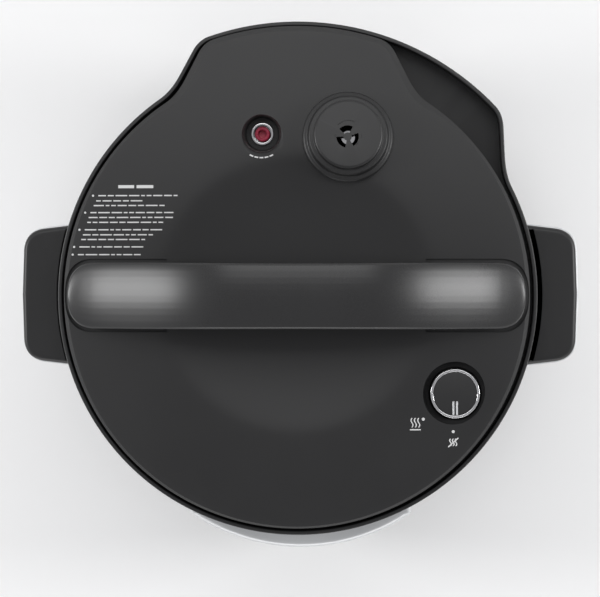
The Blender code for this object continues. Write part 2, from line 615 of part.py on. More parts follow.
def build_lid_shell(lid):
    """The lid's plastic cover, with its wells, and the bridge handle with its screws."""
    cavity = prism("lid_cavity", [lid_outline(-WALL)], 0.2250, 0.2900, None, lid)
    overlap(cavity, turned("cavity_dome", dome_profile(WALL), None, lid, turn=DOME_TURN))
    cut(cavity, rod("bobber_column", 0.0128, 0.2520, 0.3000, None, lid, (*BOBBER_XY, 0)))
    cut(cavity, rod("dial_column", 0.0212, 0.2560, 0.3000, None, lid, (*DIAL_XY, 0)))
    cut(cavity, rod("centre_column", 0.0080, PLATE_TOP + GAP, 0.3000, None, lid))
    cover = prism("lid_cover", [lid_outline()], LID_SKIRT_BOTTOM, 0.2900, CHARCOAL, lid)
    overlap(cover, turned("lid_dome", dome_profile(), None, lid, turn=DOME_TURN))
    cut(cover, cavity)
    cut(cover, turned("bobber_well", [
        (0, 0.2800), (0.0150, 0.2800), (0.0112, 0.2670), (0.0096, 0.2545), (0, 0.2545)],
        None, lid, (*BOBBER_XY, 0), SMALL))
    cut(cover, rod("bobber_hole", 0.0069, 0.2400, 0.2600, None, lid, (*BOBBER_XY, 0)))
    cut(cover, rod("valve_hole", 0.0182, 0.2400, 0.2900, None, lid, (*VALVE_XY, 0), 32))
    cut(cover, turned("dial_well", [
        (0, 0.2750), (0.0225, 0.2750), (0.0166, 0.2612), (0, 0.2612)], None, lid, (*DIAL_XY, 0), 32))
    cut(cover, rod("dial_hole", 0.0031, 0.2400, 0.2700, None, lid, (*DIAL_XY, 0)))
    cut(cover, rod("centre_hole", 0.0023, 0.2300, 0.2560, None, lid, steps=16))

    foot = [(x, lid_surface(x) + GAP) for x in (HANDLE_REACH + 0.001, SHOULDER_R + 0.0005)]
    under = [(BRIDGE_END * share, BRIDGE_UNDER - BRIDGE_FALL * share ** 2)
             for share in (0.8, 0.6, 0.4, 0.2, 0)]
    crown = [(x, handle_back(x)) for x in (HANDLE_REACH * i / 12 for i in range(12))]
    tip = handle_back(HANDLE_REACH)
    half = foot + under
    band = half + [(-x, z) for x, z in reversed(half[:-1])]
    band += [(-HANDLE_REACH - 0.001, tip)] + [(-x, z) for x, z in reversed(crown[1:])]
    band += crown + [(HANDLE_REACH + 0.001, tip)]
    handle = prism("lid_handle", [band], -0.0300, 0.0300, HANDLE_GREY, lid, turn=(math.pi / 2, 0, 0))
    pill = rounded_box(HANDLE_REACH, HANDLE_HALF_WIDTH, HANDLE_HALF_WIDTH - 0.0005, 8)
    overlap(handle, prism("handle_plan", [pill], 0.2500, 0.3300, None, lid))
    for side, word in ((-1, "left"), (1, "right")):
        spot = (side * SCREW_X, 0, 0)
        cut(handle, rod(f"screw_socket_{word}", 0.0022, 0.2500, 0.2800, None, lid, spot, 16))
        cut(cover, rod(f"screw_way_{word}", 0.0022, 0.2500, 0.2800, None, lid, spot, 16))
        turned(f"handle_screw_{word}", [
            (0, 0.2785), (0.0018, 0.2785), (0.0018, 0.2648), (0.0036, 0.2648), (0.0036, 0.2622), (0, 0.2622)],
            STEEL, lid, spot, 16)


def build_lid_inside(lid):
    """The lugged steel plate, the seal and its rack, the vent pipe and its shield."""
    plate = turned("lid_plate", [
        (0, PLATE_TOP), (0.1225, PLATE_TOP), (0.1237, PLATE_TOP - 0.0012), (0.1237, 0.2180), (0.1222, 0.2180),
        (0.1222, PLATE_TOP - SHEET), (0, PLATE_TOP - SHEET)], STEEL, lid)
    lugs = toothed(0.1240, 0.1302, LUGS, LUG_DEGREES)
    join(plate, prism("plate_lugs", [lugs, circle(0.1229)], 0.2182, 0.2212, None, lid))
    cut(plate, rod("pipe_hole", 0.0038, 0.2300, 0.2450, None, lid, (*VALVE_XY, 0), 16))
    cut(plate, rod("stem_hole", 0.0032, 0.2300, 0.2450, None, lid, (*BOBBER_XY, 0), 16))
    cut(plate, rod("plate_centre_hole", 0.0023, 0.2300, 0.2450, None, lid, steps=16))
    turned("lid_centre_screw", [
        (0, 0.2540), (0.0019, 0.2540), (0.0019, 0.2367), (0.0080, 0.2367), (0.0080, 0.2345), (0.0050, 0.2322),
        (0, 0.2318)], STEEL, lid, steps=16)
    turned("sealing_ring", [
        (0.1104, 0.2340), (0.1216, 0.2340), (0.1216, 0.2270), (0.1206, POT_RIM + GAP),
        (0.1110, POT_RIM + GAP), (0.1104, 0.2262), (0.1150, 0.2285), (0.1150, 0.2318)], SILICONE, lid)
    ring("ring_rack", 0.1082, 0.1092, 0.2275, 0.2366, STEEL, lid)
    pipe_at = (*VALVE_XY, 0)
    turned("vent_pipe", [
        (0.0016, 0.2547), (0.0026, 0.2547), (0.0034, 0.2530), (0.0034, 0.2412), (0.0062, 0.2412),
        (0.0062, PLATE_TOP + GAP), (0.0034, PLATE_TOP + GAP), (0.0034, 0.2310), (0.0016, 0.2310)],
        STEEL, lid, pipe_at, SMALL)
    nut = circle(0.0060, 6)
    prism("pipe_nut", [nut, circle(0.0037, 16)], 0.2334, 0.2366, STEEL, lid, pipe_at)
    turned("vent_shield", [
        (0.0066, 0.2366), (0.0074, 0.2366), (0.0074, 0.2265), (0, 0.2265), (0, 0.2273), (0.0066, 0.2273)],
        STEEL, lid, pipe_at, SMALL)
    ring("bobber_guide", 0.0053, 0.0065, PLATE_TOP + GAP, 0.2570, STEEL, lid, (*BOBBER_XY, 0), SMALL)


def build_steam_valve(lid):
    """The stepped steam cap, square to the sloping shoulder, and the weight that lifts under it."""
    radius = VALVE_XY.length
    tilt = math.atan(LID_SLOPE)
    out = VALVE_XY.normalized()
    cap = turned("steam_cap", [
        (0, 0.0135), (0.0194, 0.0135), (0.0204, 0.0127), (0.0204, 0.0080), (0.0229, 0.0078),
        (0.0234, 0.0072), (0.0242, 0.0034), (0.0264, 0.0028), (0.0270, 0.0020), (0.0270, GAP),
        (0.0196, GAP), (0.0188, 0.0115), (0, 0.0115)], CHARCOAL, lid,
        (*VALVE_XY, lid_surface(radius)), 30, (-tilt * out.y, tilt * out.x, 0))
    for number in range(3):
        turn = 120 * number + VENT_TURN
        slit = sector(0.0024, 0.0066, turn - 38, turn + 38)
        cut(cap, prism(f"steam_vent_{number}", [slit], 0.2550, 0.3000, None, lid, (*VALVE_XY, 0)))
    weight = axis("weight_axis", (*VALVE_XY, 0), lid)
    turned("steam_weight", [
        (0, 0.2640), (0.0045, 0.2640), (0.0068, 0.2620), (0.0068, 0.2532), (0.0090, 0.2527),
        (0.0090, WEIGHT_LOW), (0.0040, WEIGHT_LOW), (0.0040, 0.2551), (0, 0.2551)],
        STEEL, weight, steps=SMALL)


def build_bobber(lid):
    """The float that rises as the pot comes up to pressure, with its gasket below the plate."""
    bobber = axis("bobber_axis", (*BOBBER_XY, 0), lid)
    turned("bobber_pin", [
        (0.0020, 0.2565), (0.0038, 0.2565), (0.0044, 0.2559), (0.0044, 0.2420), (0.0026, 0.2420),
        (0.0026, 0.2280), (0, 0.2280), (0, 0.2520), (0.0020, 0.2520)], RED, bobber, steps=SMALL)
    ring("bobber_gasket", 0.0029, 0.0060, 0.2284, 0.2310, SILICONE, bobber, steps=SMALL)


def build_dial(lid):
    """The knob, its bright ring, and the shaft whose crank pushes the link to the steam valve."""
    reach = VALVE_XY - DIAL_XY
    heading = math.atan2(reach.y, reach.x)
    dial = axis("dial_axis", (*DIAL_XY, 0), lid, heading)
    turned("dial_knob", [
        (0, 0.2694), (0.0128, 0.2694), (0.0128, 0.2682), (0.0144, 0.2682), (0.0140, 0.2615), (0, 0.2615)],
        CHARCOAL, dial, steps=24)
    ring("dial_ring", 0.0131, 0.0145, 0.2685, 0.2699, CHROME, dial, steps=24)
    shaft = rod("dial_shaft", 0.0028, 0.2460, 0.2612, STEEL, dial)
    pin_angle = math.radians(90 + DIAL_TURN / 2)
    pin = Vector((math.cos(pin_angle), math.sin(pin_angle))) * CRANK_R
    join(shaft, block("crank_arm", (CRANK_R, 0.0042, 0.0025), None, dial, (*(pin / 2), 0.24725),
                      (0, 0, pin_angle)))
    join(shaft, rod("crank_pin", 0.0020, 0.2418, 0.2480, None, dial, (*pin, 0), 16))

    link = axis("link_axis", (*VALVE_XY, 0), lid, heading)
    far = -reach.length
    strip = [(far - 0.0095, 0.0035), (far - 0.0095, 0.0118), (-0.0150, 0.0118), (-0.0150, -0.0080),
             (-0.0230, -0.0080), (-0.0230, 0.0035)]
    slot_middle = far + pin.x
    yoke = [(slot_middle + x, 0.0076 + y) for x, y in rounded_box(0.0023, 0.0030, 0.0008)]
    bar = prism("link_bar", [strip, yoke], LINK_BOTTOM, LINK_TOP, STEEL, link)
    slope = WEIGHT_LIFT / LINK_TRAVEL
    reach_s = 0.0078
    top_at = WEIGHT_LOW - GAP
    ramp = [(-0.0200, LINK_BOTTOM), (reach_s, LINK_BOTTOM), (reach_s, top_at - slope * 2 * reach_s),
            (-reach_s - LINK_TRAVEL, top_at + slope * LINK_TRAVEL), (-0.0200, top_at + slope * LINK_TRAVEL)]
    for side, word in ((-1, "near"), (1, "far")):
        prong = prism(f"{word}_prong", [ramp], -0.0015, 0.0015, None, link, (0, side * 0.0060, 0),
                      (math.pi / 2, 0, 0))
        join(bar, prong)


def main():
    clear_scene()
    root = axis("pot_axis", (0, AXIS_Y, 0))
    build_base(root)
    build_collar(root)
    build_side_handles(root)
    build_panel(root)
    build_heater(root)
    build_lid_sensor(root)
    build_drip_cup(root)
    build_inner_pot(root)
    lid = axis("lid_axis", (0, 0, 0), root)
    build_lid_shell(lid)
    build_lid_inside(lid)
    build_steam_valve(lid)
    build_bobber(lid)
    build_dial(lid)


main()
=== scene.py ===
"""The looks of an electric pressure cooker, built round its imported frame.

Lengths are in metres. +X is the cook's right, -Y the front with the control panel, and +Z up. Plan outlines
are given about the pot's own axis, run clockwise as seen from above, and their angles run clockwise from +Y.
"""

import json
import logging
import math
from dataclasses import dataclass
from enum import Enum
from typing import Callable, Iterable, Sequence

import bmesh
import bpy
from mathutils import Matrix, Vector


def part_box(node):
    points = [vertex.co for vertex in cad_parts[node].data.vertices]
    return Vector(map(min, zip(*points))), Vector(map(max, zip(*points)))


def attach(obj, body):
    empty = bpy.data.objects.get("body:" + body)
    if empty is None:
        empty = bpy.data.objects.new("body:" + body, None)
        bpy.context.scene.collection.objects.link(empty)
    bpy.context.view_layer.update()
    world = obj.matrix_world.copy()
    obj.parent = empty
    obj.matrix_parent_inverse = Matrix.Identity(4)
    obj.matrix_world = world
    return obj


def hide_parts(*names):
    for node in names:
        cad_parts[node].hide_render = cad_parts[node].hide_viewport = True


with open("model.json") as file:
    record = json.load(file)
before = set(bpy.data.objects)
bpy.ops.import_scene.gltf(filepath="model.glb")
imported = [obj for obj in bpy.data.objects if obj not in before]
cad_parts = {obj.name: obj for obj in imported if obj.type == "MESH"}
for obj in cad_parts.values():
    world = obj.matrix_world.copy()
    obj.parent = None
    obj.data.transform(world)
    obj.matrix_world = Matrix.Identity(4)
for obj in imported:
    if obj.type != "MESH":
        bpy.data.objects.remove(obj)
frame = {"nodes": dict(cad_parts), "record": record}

logging.basicConfig(level=logging.INFO, format="%(message)s")
LOG = logging.getLogger("cooker")

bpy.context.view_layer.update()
MM = 0.001
WELD = 2e-6
GAP = 0.3 * MM
FULL_TURN = 2 * math.pi
SMOOTH_BELOW = math.radians(32)
CLEAR = 5 * MM           # how far a cutter stands past what it cuts

Point = tuple[float, float]
Colour = tuple[float, float, float]
Height = float | Callable[[float, float], float]


class Slot(Enum):
    """The record's material slots."""

    CHARCOAL = "charcoal_plastic"
    HANDLE = "handle_plastic"
    BLACK = "black_plastic"
    STEEL = "brushed_steel"
    CHROME = "chrome"
    ALUMINIUM = "cast_aluminium"
    SILVER = "silver_plastic"
    SILICONE = "silicone"
    RED = "red_silicone"
    RUBBER = "rubber"
    BOARD = "circuit_board"
    GLASS = "display_glass"


# ------------------------------------------------------------------------------------------------------------
# Outlines, profiles and skins
# ------------------------------------------------------------------------------------------------------------


def polar(radius: float, degrees: float) -> Vector:
    """A plan point at an angle clockwise from +Y."""
    angle = math.radians(degrees)
    return Vector((radius * math.sin(angle), radius * math.cos(angle)))


def in_mm(x: float, y: float) -> Vector:
    """A plan vector given in millimetres."""
    return Vector((x * MM, y * MM))


def bearing(point: Vector) -> float:
    """The angle of a plan point, clockwise from +Y, in degrees."""
    return math.degrees(math.atan2(point.x, point.y))


def arc(radius: float, start: float, end: float, step: float = 1.5) -> list[Vector]:
    """Plan points along an arc about the axis, both ends included, at most step degrees apart."""
    count = max(2, math.ceil(abs(end - start) / step))
    return [polar(radius, start + (end - start) * i / count) for i in range(count + 1)]


def circle(radius: float, sides: int = 96, centre: Vector | None = None) -> list[Vector]:
    """A closed round outline."""
    middle_at = centre or Vector((0, 0))
    return [polar(radius, 360 * i / sides) + middle_at for i in range(sides)]


def sector(inner: float, outer: float, start: float, end: float,
           centre: Vector | None = None) -> list[Vector]:
    """A closed sector of a ring."""
    middle_at = centre or Vector((0, 0))
    return [p + middle_at for p in arc(outer, start, end, 3) + arc(inner, end, start, 3)]


def rounded_box(half_x: float, half_y: float, corner: float, centre: Vector | None = None) -> list[Vector]:
    """A closed rectangle with round corners."""
    middle_at = centre or Vector((0, 0))
    made = []
    for quarter, (sx, sy) in enumerate(((1, 1), (1, -1), (-1, -1), (-1, 1))):
        pivot = Vector((sx * (half_x - corner), sy * (half_y - corner))) + middle_at
        made += [pivot + p for p in arc(corner, 90 * quarter, 90 * quarter + 90, 12)]
    return made


def eased(before: Vector, corner: Vector, after: Vector, steps: int = 8) -> list[Vector]:
    """A corner rounded as a curve that leaves towards it and arrives from it."""
    shares = [i / steps for i in range(steps + 1)]
    return [(1 - t) ** 2 * before + 2 * t * (1 - t) * corner + t * t * after for t in shares]


def softened(points: Sequence[Point], radius: float, steps: int = 3, closed: bool = True) -> list[Point]:
    """Rounds every corner of a profile.

    Args:
        points: The profile's corners.
        radius: How far the rounding reaches back along each side, where the side is long enough.
        steps: Points in each rounding, less one.
        closed: Whether the last corner joins the first. An open profile keeps its two ends.

    Returns:
        The profile with its corners rounded.
    """
    corners = [Vector(p) for p in points]
    count = len(corners)
    made: list[Point] = []
    for i, corner in enumerate(corners):
        if not closed and i in (0, count - 1):
            made.append(tuple(corner))
            continue
        before, after = corners[i - 1] - corner, corners[(i + 1) % count] - corner
        start = corner + before.normalized() * min(radius, 0.45 * before.length)
        end = corner + after.normalized() * min(radius, 0.45 * after.length)
        made += [tuple(p) for p in eased(start, corner, end, steps)]
    return made


def inset(points: Sequence[Vector], depth: float | Callable[[float], float]) -> list[Vector]:
    """Moves a clockwise outline inwards along its own normals.

    Args:
        points: The outline.
        depth: How far in, or a function of the plan angle in degrees that says so.

    Returns:
        As many points, moved.
    """
    moved = []
    count = len(points)
    for i, point in enumerate(points):
        along = points[(i + 1) % count] - points[i - 1]
        inward = Vector((along.y, -along.x)).normalized()
        far = depth(bearing(point)) if callable(depth) else depth
        moved.append(point + inward * far)
    return moved


def lifted(points: Iterable[Vector], height: Height, about: Vector | None = None) -> list[Vector]:
    """Plan points made points in space.

    Args:
        points: Plan points about the pot's axis, or about another place.
        height: Their height, or a function of a plan point that gives it.
        about: The other place, if it isn't the pot's axis.

    Returns:
        Points in the frame.
    """
    base = AXIS if about is None else about
    return [Vector((p.x + base.x, p.y + base.y, height(p.x, p.y) if callable(height) else height))
            for p in points]


class Skin:
    """A surface drawn through rings of points, each ring extruded from the one before."""

    def __init__(self, ring: Sequence[Vector]) -> None:
        """Starts with the first ring, given as its points in order."""
        self.bm = bmesh.new()
        self.verts = [self.bm.verts.new(p) for p in ring]
        count = len(ring)
        self.edges = [self.bm.edges.new((self.verts[i], self.verts[(i + 1) % count])) for i in range(count)]
        self.first = (self.verts, self.edges)
        self.faces: list[bmesh.types.BMFace] = []

    def draw(self, *rings: Sequence[Vector]) -> "Skin":
        """Extrudes the last ring to each of these in turn, which have as many points."""
        for ring in rings:
            made = bmesh.ops.extrude_edge_only(self.bm, edges=self.edges)["geom"]
            fresh = {item for item in made if isinstance(item, bmesh.types.BMVert)}
            self.faces = [item for item in made if isinstance(item, bmesh.types.BMFace)]
            after = []
            for vert, point in zip(self.verts, ring):
                partner = next(e.other_vert(vert) for e in vert.link_edges if e.other_vert(vert) in fresh)
                partner.co = point
                after.append(partner)
            count = len(after)
            self.edges = [self.bm.edges.get((after[i], after[(i + 1) % count])) for i in range(count)]
            self.verts = after
        return self

    def marked(self, index: int) -> "Skin":
        """Gives the strip drawn last its own material slot."""
        for face in self.faces:
            face.material_index = index
        return self

    def pole(self, point: Vector) -> "Skin":
        """Draws the last ring together in one point."""
        return self.draw([point] * len(self.verts))

    def cap(self) -> "Skin":
        """Fills the last ring with one face."""
        bmesh.ops.contextual_create(self.bm, geom=self.edges)
        return self

    def back_to_start(self) -> "Skin":
        """Goes on from the first ring."""
        self.verts, self.edges = self.first
        return self


def tube(rings: Sequence[Sequence[Vector]]) -> bmesh.types.BMesh:
    """A closed solid whose rings run round a hole, the last one joined to the first."""
    return Skin(rings[0]).draw(*rings[1:], rings[0]).bm


def slab(outline: Sequence[Vector], low: float, high: float, top_round: float = 0.0,
         bottom_round: float = 0.0, about: Vector | None = None, steps: int = 4) -> bmesh.types.BMesh:
    """A flat outline made a solid with rounded edges.

    Args:
        outline: Its plan, clockwise.
        low: Height of its underside.
        high: Height of its top.
        top_round: Radius of the top's edge.
        bottom_round: Radius of the underside's edge.
        about: What the plan is given about, if not the pot's axis.
        steps: Strips in each rounding.

    Returns:
        The solid.
    """
    rings = []
    turns = [math.pi / 2 * i / steps for i in range(steps + 1)]
    if bottom_round:
        rings.append(lifted(inset(outline, bottom_round * 1.5), low, about))
        rings += [lifted(inset(outline, bottom_round * (1 - math.sin(a))),
                         low + bottom_round * (1 - math.cos(a)), about) for a in turns]
    else:
        rings.append(lifted(outline, low, about))
    if top_round:
        rings += [lifted(inset(outline, top_round * (1 - math.cos(a))), high - top_round * (1 - math.sin(a)),
                         about) for a in turns]
        rings.append(lifted(inset(outline, top_round * 1.5), high, about))
    else:
        rings.append(lifted(outline, high, about))
    return Skin(rings[0]).draw(*rings[1:]).cap().back_to_start().cap().bm


def ribbon(rows: Sequence[Sequence[Vector]], thick: float) -> bmesh.types.BMesh:
    """A thin layer between rows of points.

    Args:
        rows: Open rows with as many points each.
        thick: Its thickness, below the rows.

    Returns:
        The closed layer.
    """
    bm = bmesh.new()
    lines = []
    for row in rows:
        verts = [bm.verts.new(p) for p in row]
        lines.append([bm.edges.new(pair) for pair in zip(verts, verts[1:])])
    for near, far in zip(lines, lines[1:]):
        bmesh.ops.bridge_loops(bm, edges=near + far)
    bmesh.ops.recalc_face_normals(bm, faces=bm.faces)
    if sum(face.normal.z for face in bm.faces) < 0:
        bmesh.ops.reverse_faces(bm, faces=bm.faces)
    bmesh.ops.solidify(bm, geom=bm.faces, thickness=thick)
    return bm


def spun(profile: Sequence[Point], centre: Vector, steps: int = 128,
         tilt: Matrix | None = None) -> bmesh.types.BMesh:
    """Turns a closed or pole-to-pole profile about a vertical line.

    Args:
        profile: Radius and height pairs. It is closed unless both its ends lie on the axis.
        centre: A point on the axis. Its height is added to the profile's.
        steps: How many times the profile is repeated round the axis.
        tilt: A rotation of the finished shape about the centre, if it leans.

    Returns:
        The turned surface.
    """
    bm = bmesh.new()
    verts = [bm.verts.new((centre.x + r, centre.y, centre.z + z)) for r, z in profile]
    edges = [bm.edges.new(pair) for pair in zip(verts, verts[1:])]
    if profile[0][0] > WELD or profile[-1][0] > WELD:
        edges.append(bm.edges.new((verts[-1], verts[0])))
    bmesh.ops.spin(bm, geom=verts + edges, cent=centre, axis=(0, 0, 1), angle=FULL_TURN, steps=steps,
                   use_merge=True)
    if tilt:
        bmesh.ops.rotate(bm, verts=bm.verts, cent=centre, matrix=tilt)
    return bm


def meshed(bm: bmesh.types.BMesh, name: str, moved: Matrix | None = None) -> bpy.types.Object:
    """Makes a linked object of a bmesh, welded and with its faces outward.

    Args:
        bm: The shape. It is freed.
        name: The object's name.
        moved: Where the shape goes, if it isn't drawn in place.

    Returns:
        The object, at the origin.
    """
    if moved:
        bmesh.ops.transform(bm, matrix=moved, verts=bm.verts)
    bmesh.ops.remove_doubles(bm, verts=bm.verts, dist=WELD)
    bmesh.ops.recalc_face_normals(bm, faces=bm.faces)
    mesh = bpy.data.meshes.new(name)
    bm.to_mesh(mesh)
    bm.free()
    obj = bpy.data.objects.new(name, mesh)
    bpy.context.scene.collection.objects.link(obj)
    return obj


def carved(obj: bpy.types.Object, cutters: Sequence[bpy.types.Object],
           joined: Sequence[bpy.types.Object] = ()) -> bpy.types.Object:
    """Joins solids to an object, cuts others from it and keeps the result as its mesh.

    Args:
        obj: The object that changes.
        cutters: Solids to take away. They are removed from the scene.
        joined: Solids to add first. They are removed too.

    Returns:
        The object.
    """
    for others, operation in ((joined, "UNION"), (cutters, "DIFFERENCE")):
        for other in others:
            boolean = obj.modifiers.new(other.name, "BOOLEAN")
            boolean.operation = operation
            boolean.solver = "EXACT"
            boolean.object = other
    bpy.context.view_layer.update()
    graph = bpy.context.evaluated_depsgraph_get()
    mesh = bpy.data.meshes.new_from_object(obj.evaluated_get(graph))
    obj.modifiers.clear()
    obj.data = mesh
    for other in (*joined, *cutters):
        bpy.data.objects.remove(other)
    return obj


def dressed(obj: bpy.types.Object, materials: bpy.types.Material | Sequence[bpy.types.Material], body: str,
            slot: Slot, *replaced: str) -> bpy.types.Object:
    """Gives a finished shape its material, its body and the nodes that it stands for.

    Args:
        obj: The piece.
        materials: Its material, or one for each of its material slots.
        body: The CAD body that it moves with.
        slot: The record's slot of its finish. It is not used.
        replaced: CAD nodes that it stands for.

    Returns:
        The piece.
    """
    mesh = obj.data
    mesh.materials.clear()
    for material in [materials] if isinstance(materials, bpy.types.Material) else materials:
        mesh.materials.append(material)
    mesh.shade_smooth()
    mesh.set_sharp_from_angle(angle=SMOOTH_BELOW)
    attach(obj, body)
    if replaced:
        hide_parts(*replaced)
    LOG.info("%s: %d faces on %s", obj.name, len(mesh.polygons), body)
    return obj


# ------------------------------------------------------------------------------------------------------------
# Finishes
# ------------------------------------------------------------------------------------------------------------


class Nodes:
    """Adds and links the nodes of one tree."""

    def __init__(self, tree: bpy.types.NodeTree) -> None:
        """Keeps the tree."""
        self.tree = tree

    def add(self, kind: str, inputs: dict | None = None, **settings: object) -> bpy.types.Node:
        """Adds a node.

        Args:
            kind: The node's type name.
            inputs: Socket name or index to a value, or to another node's output, which is linked.
            settings: The node's own properties.

        Returns:
            The node.
        """
        node = self.tree.nodes.new(kind)
        for key, value in settings.items():
            setattr(node, key, value)
        for key, value in (inputs or {}).items():
            if isinstance(value, bpy.types.NodeSocket):
                self.tree.links.new(value, node.inputs[key])
            else:
                node.inputs[key].default_value = value
        return node

    def math(self, operation: str, *values: object) -> bpy.types.NodeSocket:
        """A Math node's output."""
        return self.add("ShaderNodeMath", dict(enumerate(values)), operation=operation).outputs[0]

    def blend(self, share: object, first: object, second: object) -> bpy.types.NodeSocket:
        """A colour between two colours."""
        inputs = {0: share, 6: first, 7: second}
        return self.add("ShaderNodeMix", inputs, data_type="RGBA").outputs[2]

    def feed(self, output: bpy.types.NodeSocket, socket: bpy.types.NodeSocket) -> None:
        """Links an output to a socket."""
        self.tree.links.new(output, socket)


def new_group(name: str, inputs: dict[str, str], outputs: Sequence[str]) -> tuple[Nodes, object, object]:
    """Starts a node group.

    Args:
        name: The group's name.
        inputs: Socket name to socket type.
        outputs: Names of the values that come out.

    Returns:
        The group's nodes, what goes into it and what comes out.
    """
    tree = bpy.data.node_groups.new(name, "ShaderNodeTree")
    for label, kind in inputs.items():
        tree.interface.new_socket(name=label, in_out="INPUT", socket_type=kind)
    for label in outputs:
        tree.interface.new_socket(name=label, in_out="OUTPUT", socket_type="NodeSocketFloat")
    nodes = Nodes(tree)
    return nodes, nodes.add("NodeGroupInput").outputs, nodes.add("NodeGroupOutput").inputs


class Effects:
    """The node groups that the finishes share, each made once."""

    def __init__(self) -> None:
        """Makes every group."""
        self.grain = self._grain()
        self.lines = self._lines()
        self.edges = self._edges()

    @staticmethod
    def _grain() -> bpy.types.NodeTree:
        """A moulded surface's fine texture, with a slow change of tone over it."""
        n, into, out = new_group("moulded_grain", {"Vector": "NodeSocketVector", "Scale": "NodeSocketFloat"},
                                 ("Height", "Tone"))
        fine = n.add("ShaderNodeTexNoise", {"Vector": into["Vector"], "Scale": into["Scale"], "Detail": 3.0})
        pits = n.add("ShaderNodeTexVoronoi", {"Vector": into["Vector"], "Scale": into["Scale"]})
        slow = n.add("ShaderNodeTexNoise", {"Vector": into["Vector"], "Scale": 14.0, "Detail": 4.0})
        height = n.math("ADD", n.math("MULTIPLY", fine.outputs[0], 0.6),
                        n.math("MULTIPLY", pits.outputs[0], 0.4))
        tone = n.math("ADD", n.math("MULTIPLY", slow.outputs[0], 0.6),
                      n.math("MULTIPLY", fine.outputs[0], 0.4))
        n.feed(height, out["Height"])
        n.feed(tone, out["Tone"])
        return n.tree

    @staticmethod
    def _lines() -> bpy.types.NodeTree:
        """Lines left by a turning or brushing tool that runs round the pot's axis."""
        n, into, out = new_group("turned_lines", {"Vector": "NodeSocketVector", "Scale": "NodeSocketFloat"},
                                 ("Height", "Tone"))
        parts = n.add("ShaderNodeSeparateXYZ", {0: into["Vector"]}).outputs
        flat = n.add("ShaderNodeCombineXYZ", {0: parts[0], 1: parts[1]}).outputs[0]
        radius = n.add("ShaderNodeVectorMath", {0: flat}, operation="LENGTH").outputs["Value"]
        round_it = n.add("ShaderNodeVectorMath", {0: flat}, operation="NORMALIZE").outputs[0]
        sides = n.add("ShaderNodeSeparateXYZ", {0: round_it}).outputs
        across = n.math("MULTIPLY", n.math("ADD", radius, parts[2]), into["Scale"])
        place = n.add("ShaderNodeCombineXYZ", {0: n.math("MULTIPLY", sides[0], 3.0),
                                               1: n.math("MULTIPLY", sides[1], 3.0), 2: across}).outputs[0]
        noise = n.add("ShaderNodeTexNoise", {"Vector": place, "Scale": 1.0, "Detail": 6.0, "Roughness": 0.7})
        wide = n.add("ShaderNodeTexNoise", {"Vector": into["Vector"], "Scale": 9.0, "Detail": 2.0})
        tone = n.math("ADD", n.math("MULTIPLY", noise.outputs[0], 0.75),
                      n.math("MULTIPLY", wide.outputs[0], 0.25))
        n.feed(noise.outputs[0], out["Height"])
        n.feed(tone, out["Tone"])
        return n.tree

    @staticmethod
    def _edges() -> bpy.types.NodeTree:
        """A mask of the outer edges that hands rub, broken up a little."""
        n, into, out = new_group("rubbed_edges", {"Vector": "NodeSocketVector", "Amount": "NodeSocketFloat"},
                                 ("Mask",))
        sharp = n.add("ShaderNodeNewGeometry").outputs["Pointiness"]
        raised = n.add("ShaderNodeMapRange", {0: sharp, 1: 0.515, 2: 0.60}).outputs[0]
        broken = n.add("ShaderNodeTexNoise",
                       {"Vector": into["Vector"], "Scale": 90.0, "Detail": 3.0}).outputs[0]
        n.feed(n.math("MULTIPLY", n.math("MULTIPLY", raised, broken), into["Amount"]), out["Mask"])
        return n.tree


def started(name: str) -> tuple[bpy.types.Material, Nodes, bpy.types.Node, bpy.types.NodeSocket]:
    """A new node material, its nodes, its shader and its Object coordinates about the pot's axis."""
    material = bpy.data.materials.new(name)
    material.use_nodes = True
    n = Nodes(material.node_tree)
    place = n.add("ShaderNodeTexCoord").outputs["Object"]
    centred = n.add("ShaderNodeMapping", {"Vector": place, "Location": (-AXIS.x, -AXIS.y, 0.0)}).outputs[0]
    return material, n, material.node_tree.nodes["Principled BSDF"], centred


def shade(colour: Colour, factor: float, lift: float = 0.0) -> tuple[float, float, float, float]:
    """A colour made lighter or darker."""
    return (*[min(1.0, c * factor + lift) for c in colour], 1.0)


@dataclass(frozen=True)
class Moulded:
    """A moulded plastic, rubber, silicone or paint."""

    name: str
    colour: Colour
    roughness: float
    grain: float = 2600.0
    bump: float = 0.10
    wear: float = 0.5
    spread: float = 0.25
    coat: float = 0.0
    subsurface: float = 0.0
    specular: float = 0.5
    metallic: float = 0.0

    def made(self, effects: Effects) -> bpy.types.Material:
        """Builds the material from the shared node groups."""
        material, n, shader, place = started(self.name)
        grain = n.add("ShaderNodeGroup", node_tree=effects.grain)
        n.feed(place, grain.inputs["Vector"])
        grain.inputs["Scale"].default_value = self.grain
        edges = n.add("ShaderNodeGroup", node_tree=effects.edges)
        n.feed(place, edges.inputs["Vector"])
        edges.inputs["Amount"].default_value = self.wear
        tone, worn = grain.outputs["Tone"], edges.outputs["Mask"]
        body = n.blend(tone, shade(self.colour, 1 - self.spread), shade(self.colour, 1 + self.spread))
        n.feed(n.blend(worn, body, shade(self.colour, 1.6, 0.01)), shader.inputs["Base Color"])
        rough = n.math("ADD", n.math("MULTIPLY", n.math("SUBTRACT", tone, 0.5), 0.16), self.roughness)
        n.feed(n.math("SUBTRACT", rough, n.math("MULTIPLY", worn, 0.08)), shader.inputs["Roughness"])
        bump = n.add("ShaderNodeBump", {"Height": grain.outputs["Height"], "Strength": self.bump,
                                        "Distance": 0.1 * MM})
        n.feed(bump.outputs[0], shader.inputs["Normal"])
        for socket, value in (("Coat Weight", self.coat), ("Subsurface Weight", self.subsurface),
                              ("Subsurface Scale", MM), ("Specular IOR Level", self.specular),
                              ("Metallic", self.metallic)):
            shader.inputs[socket].default_value = value
        return material


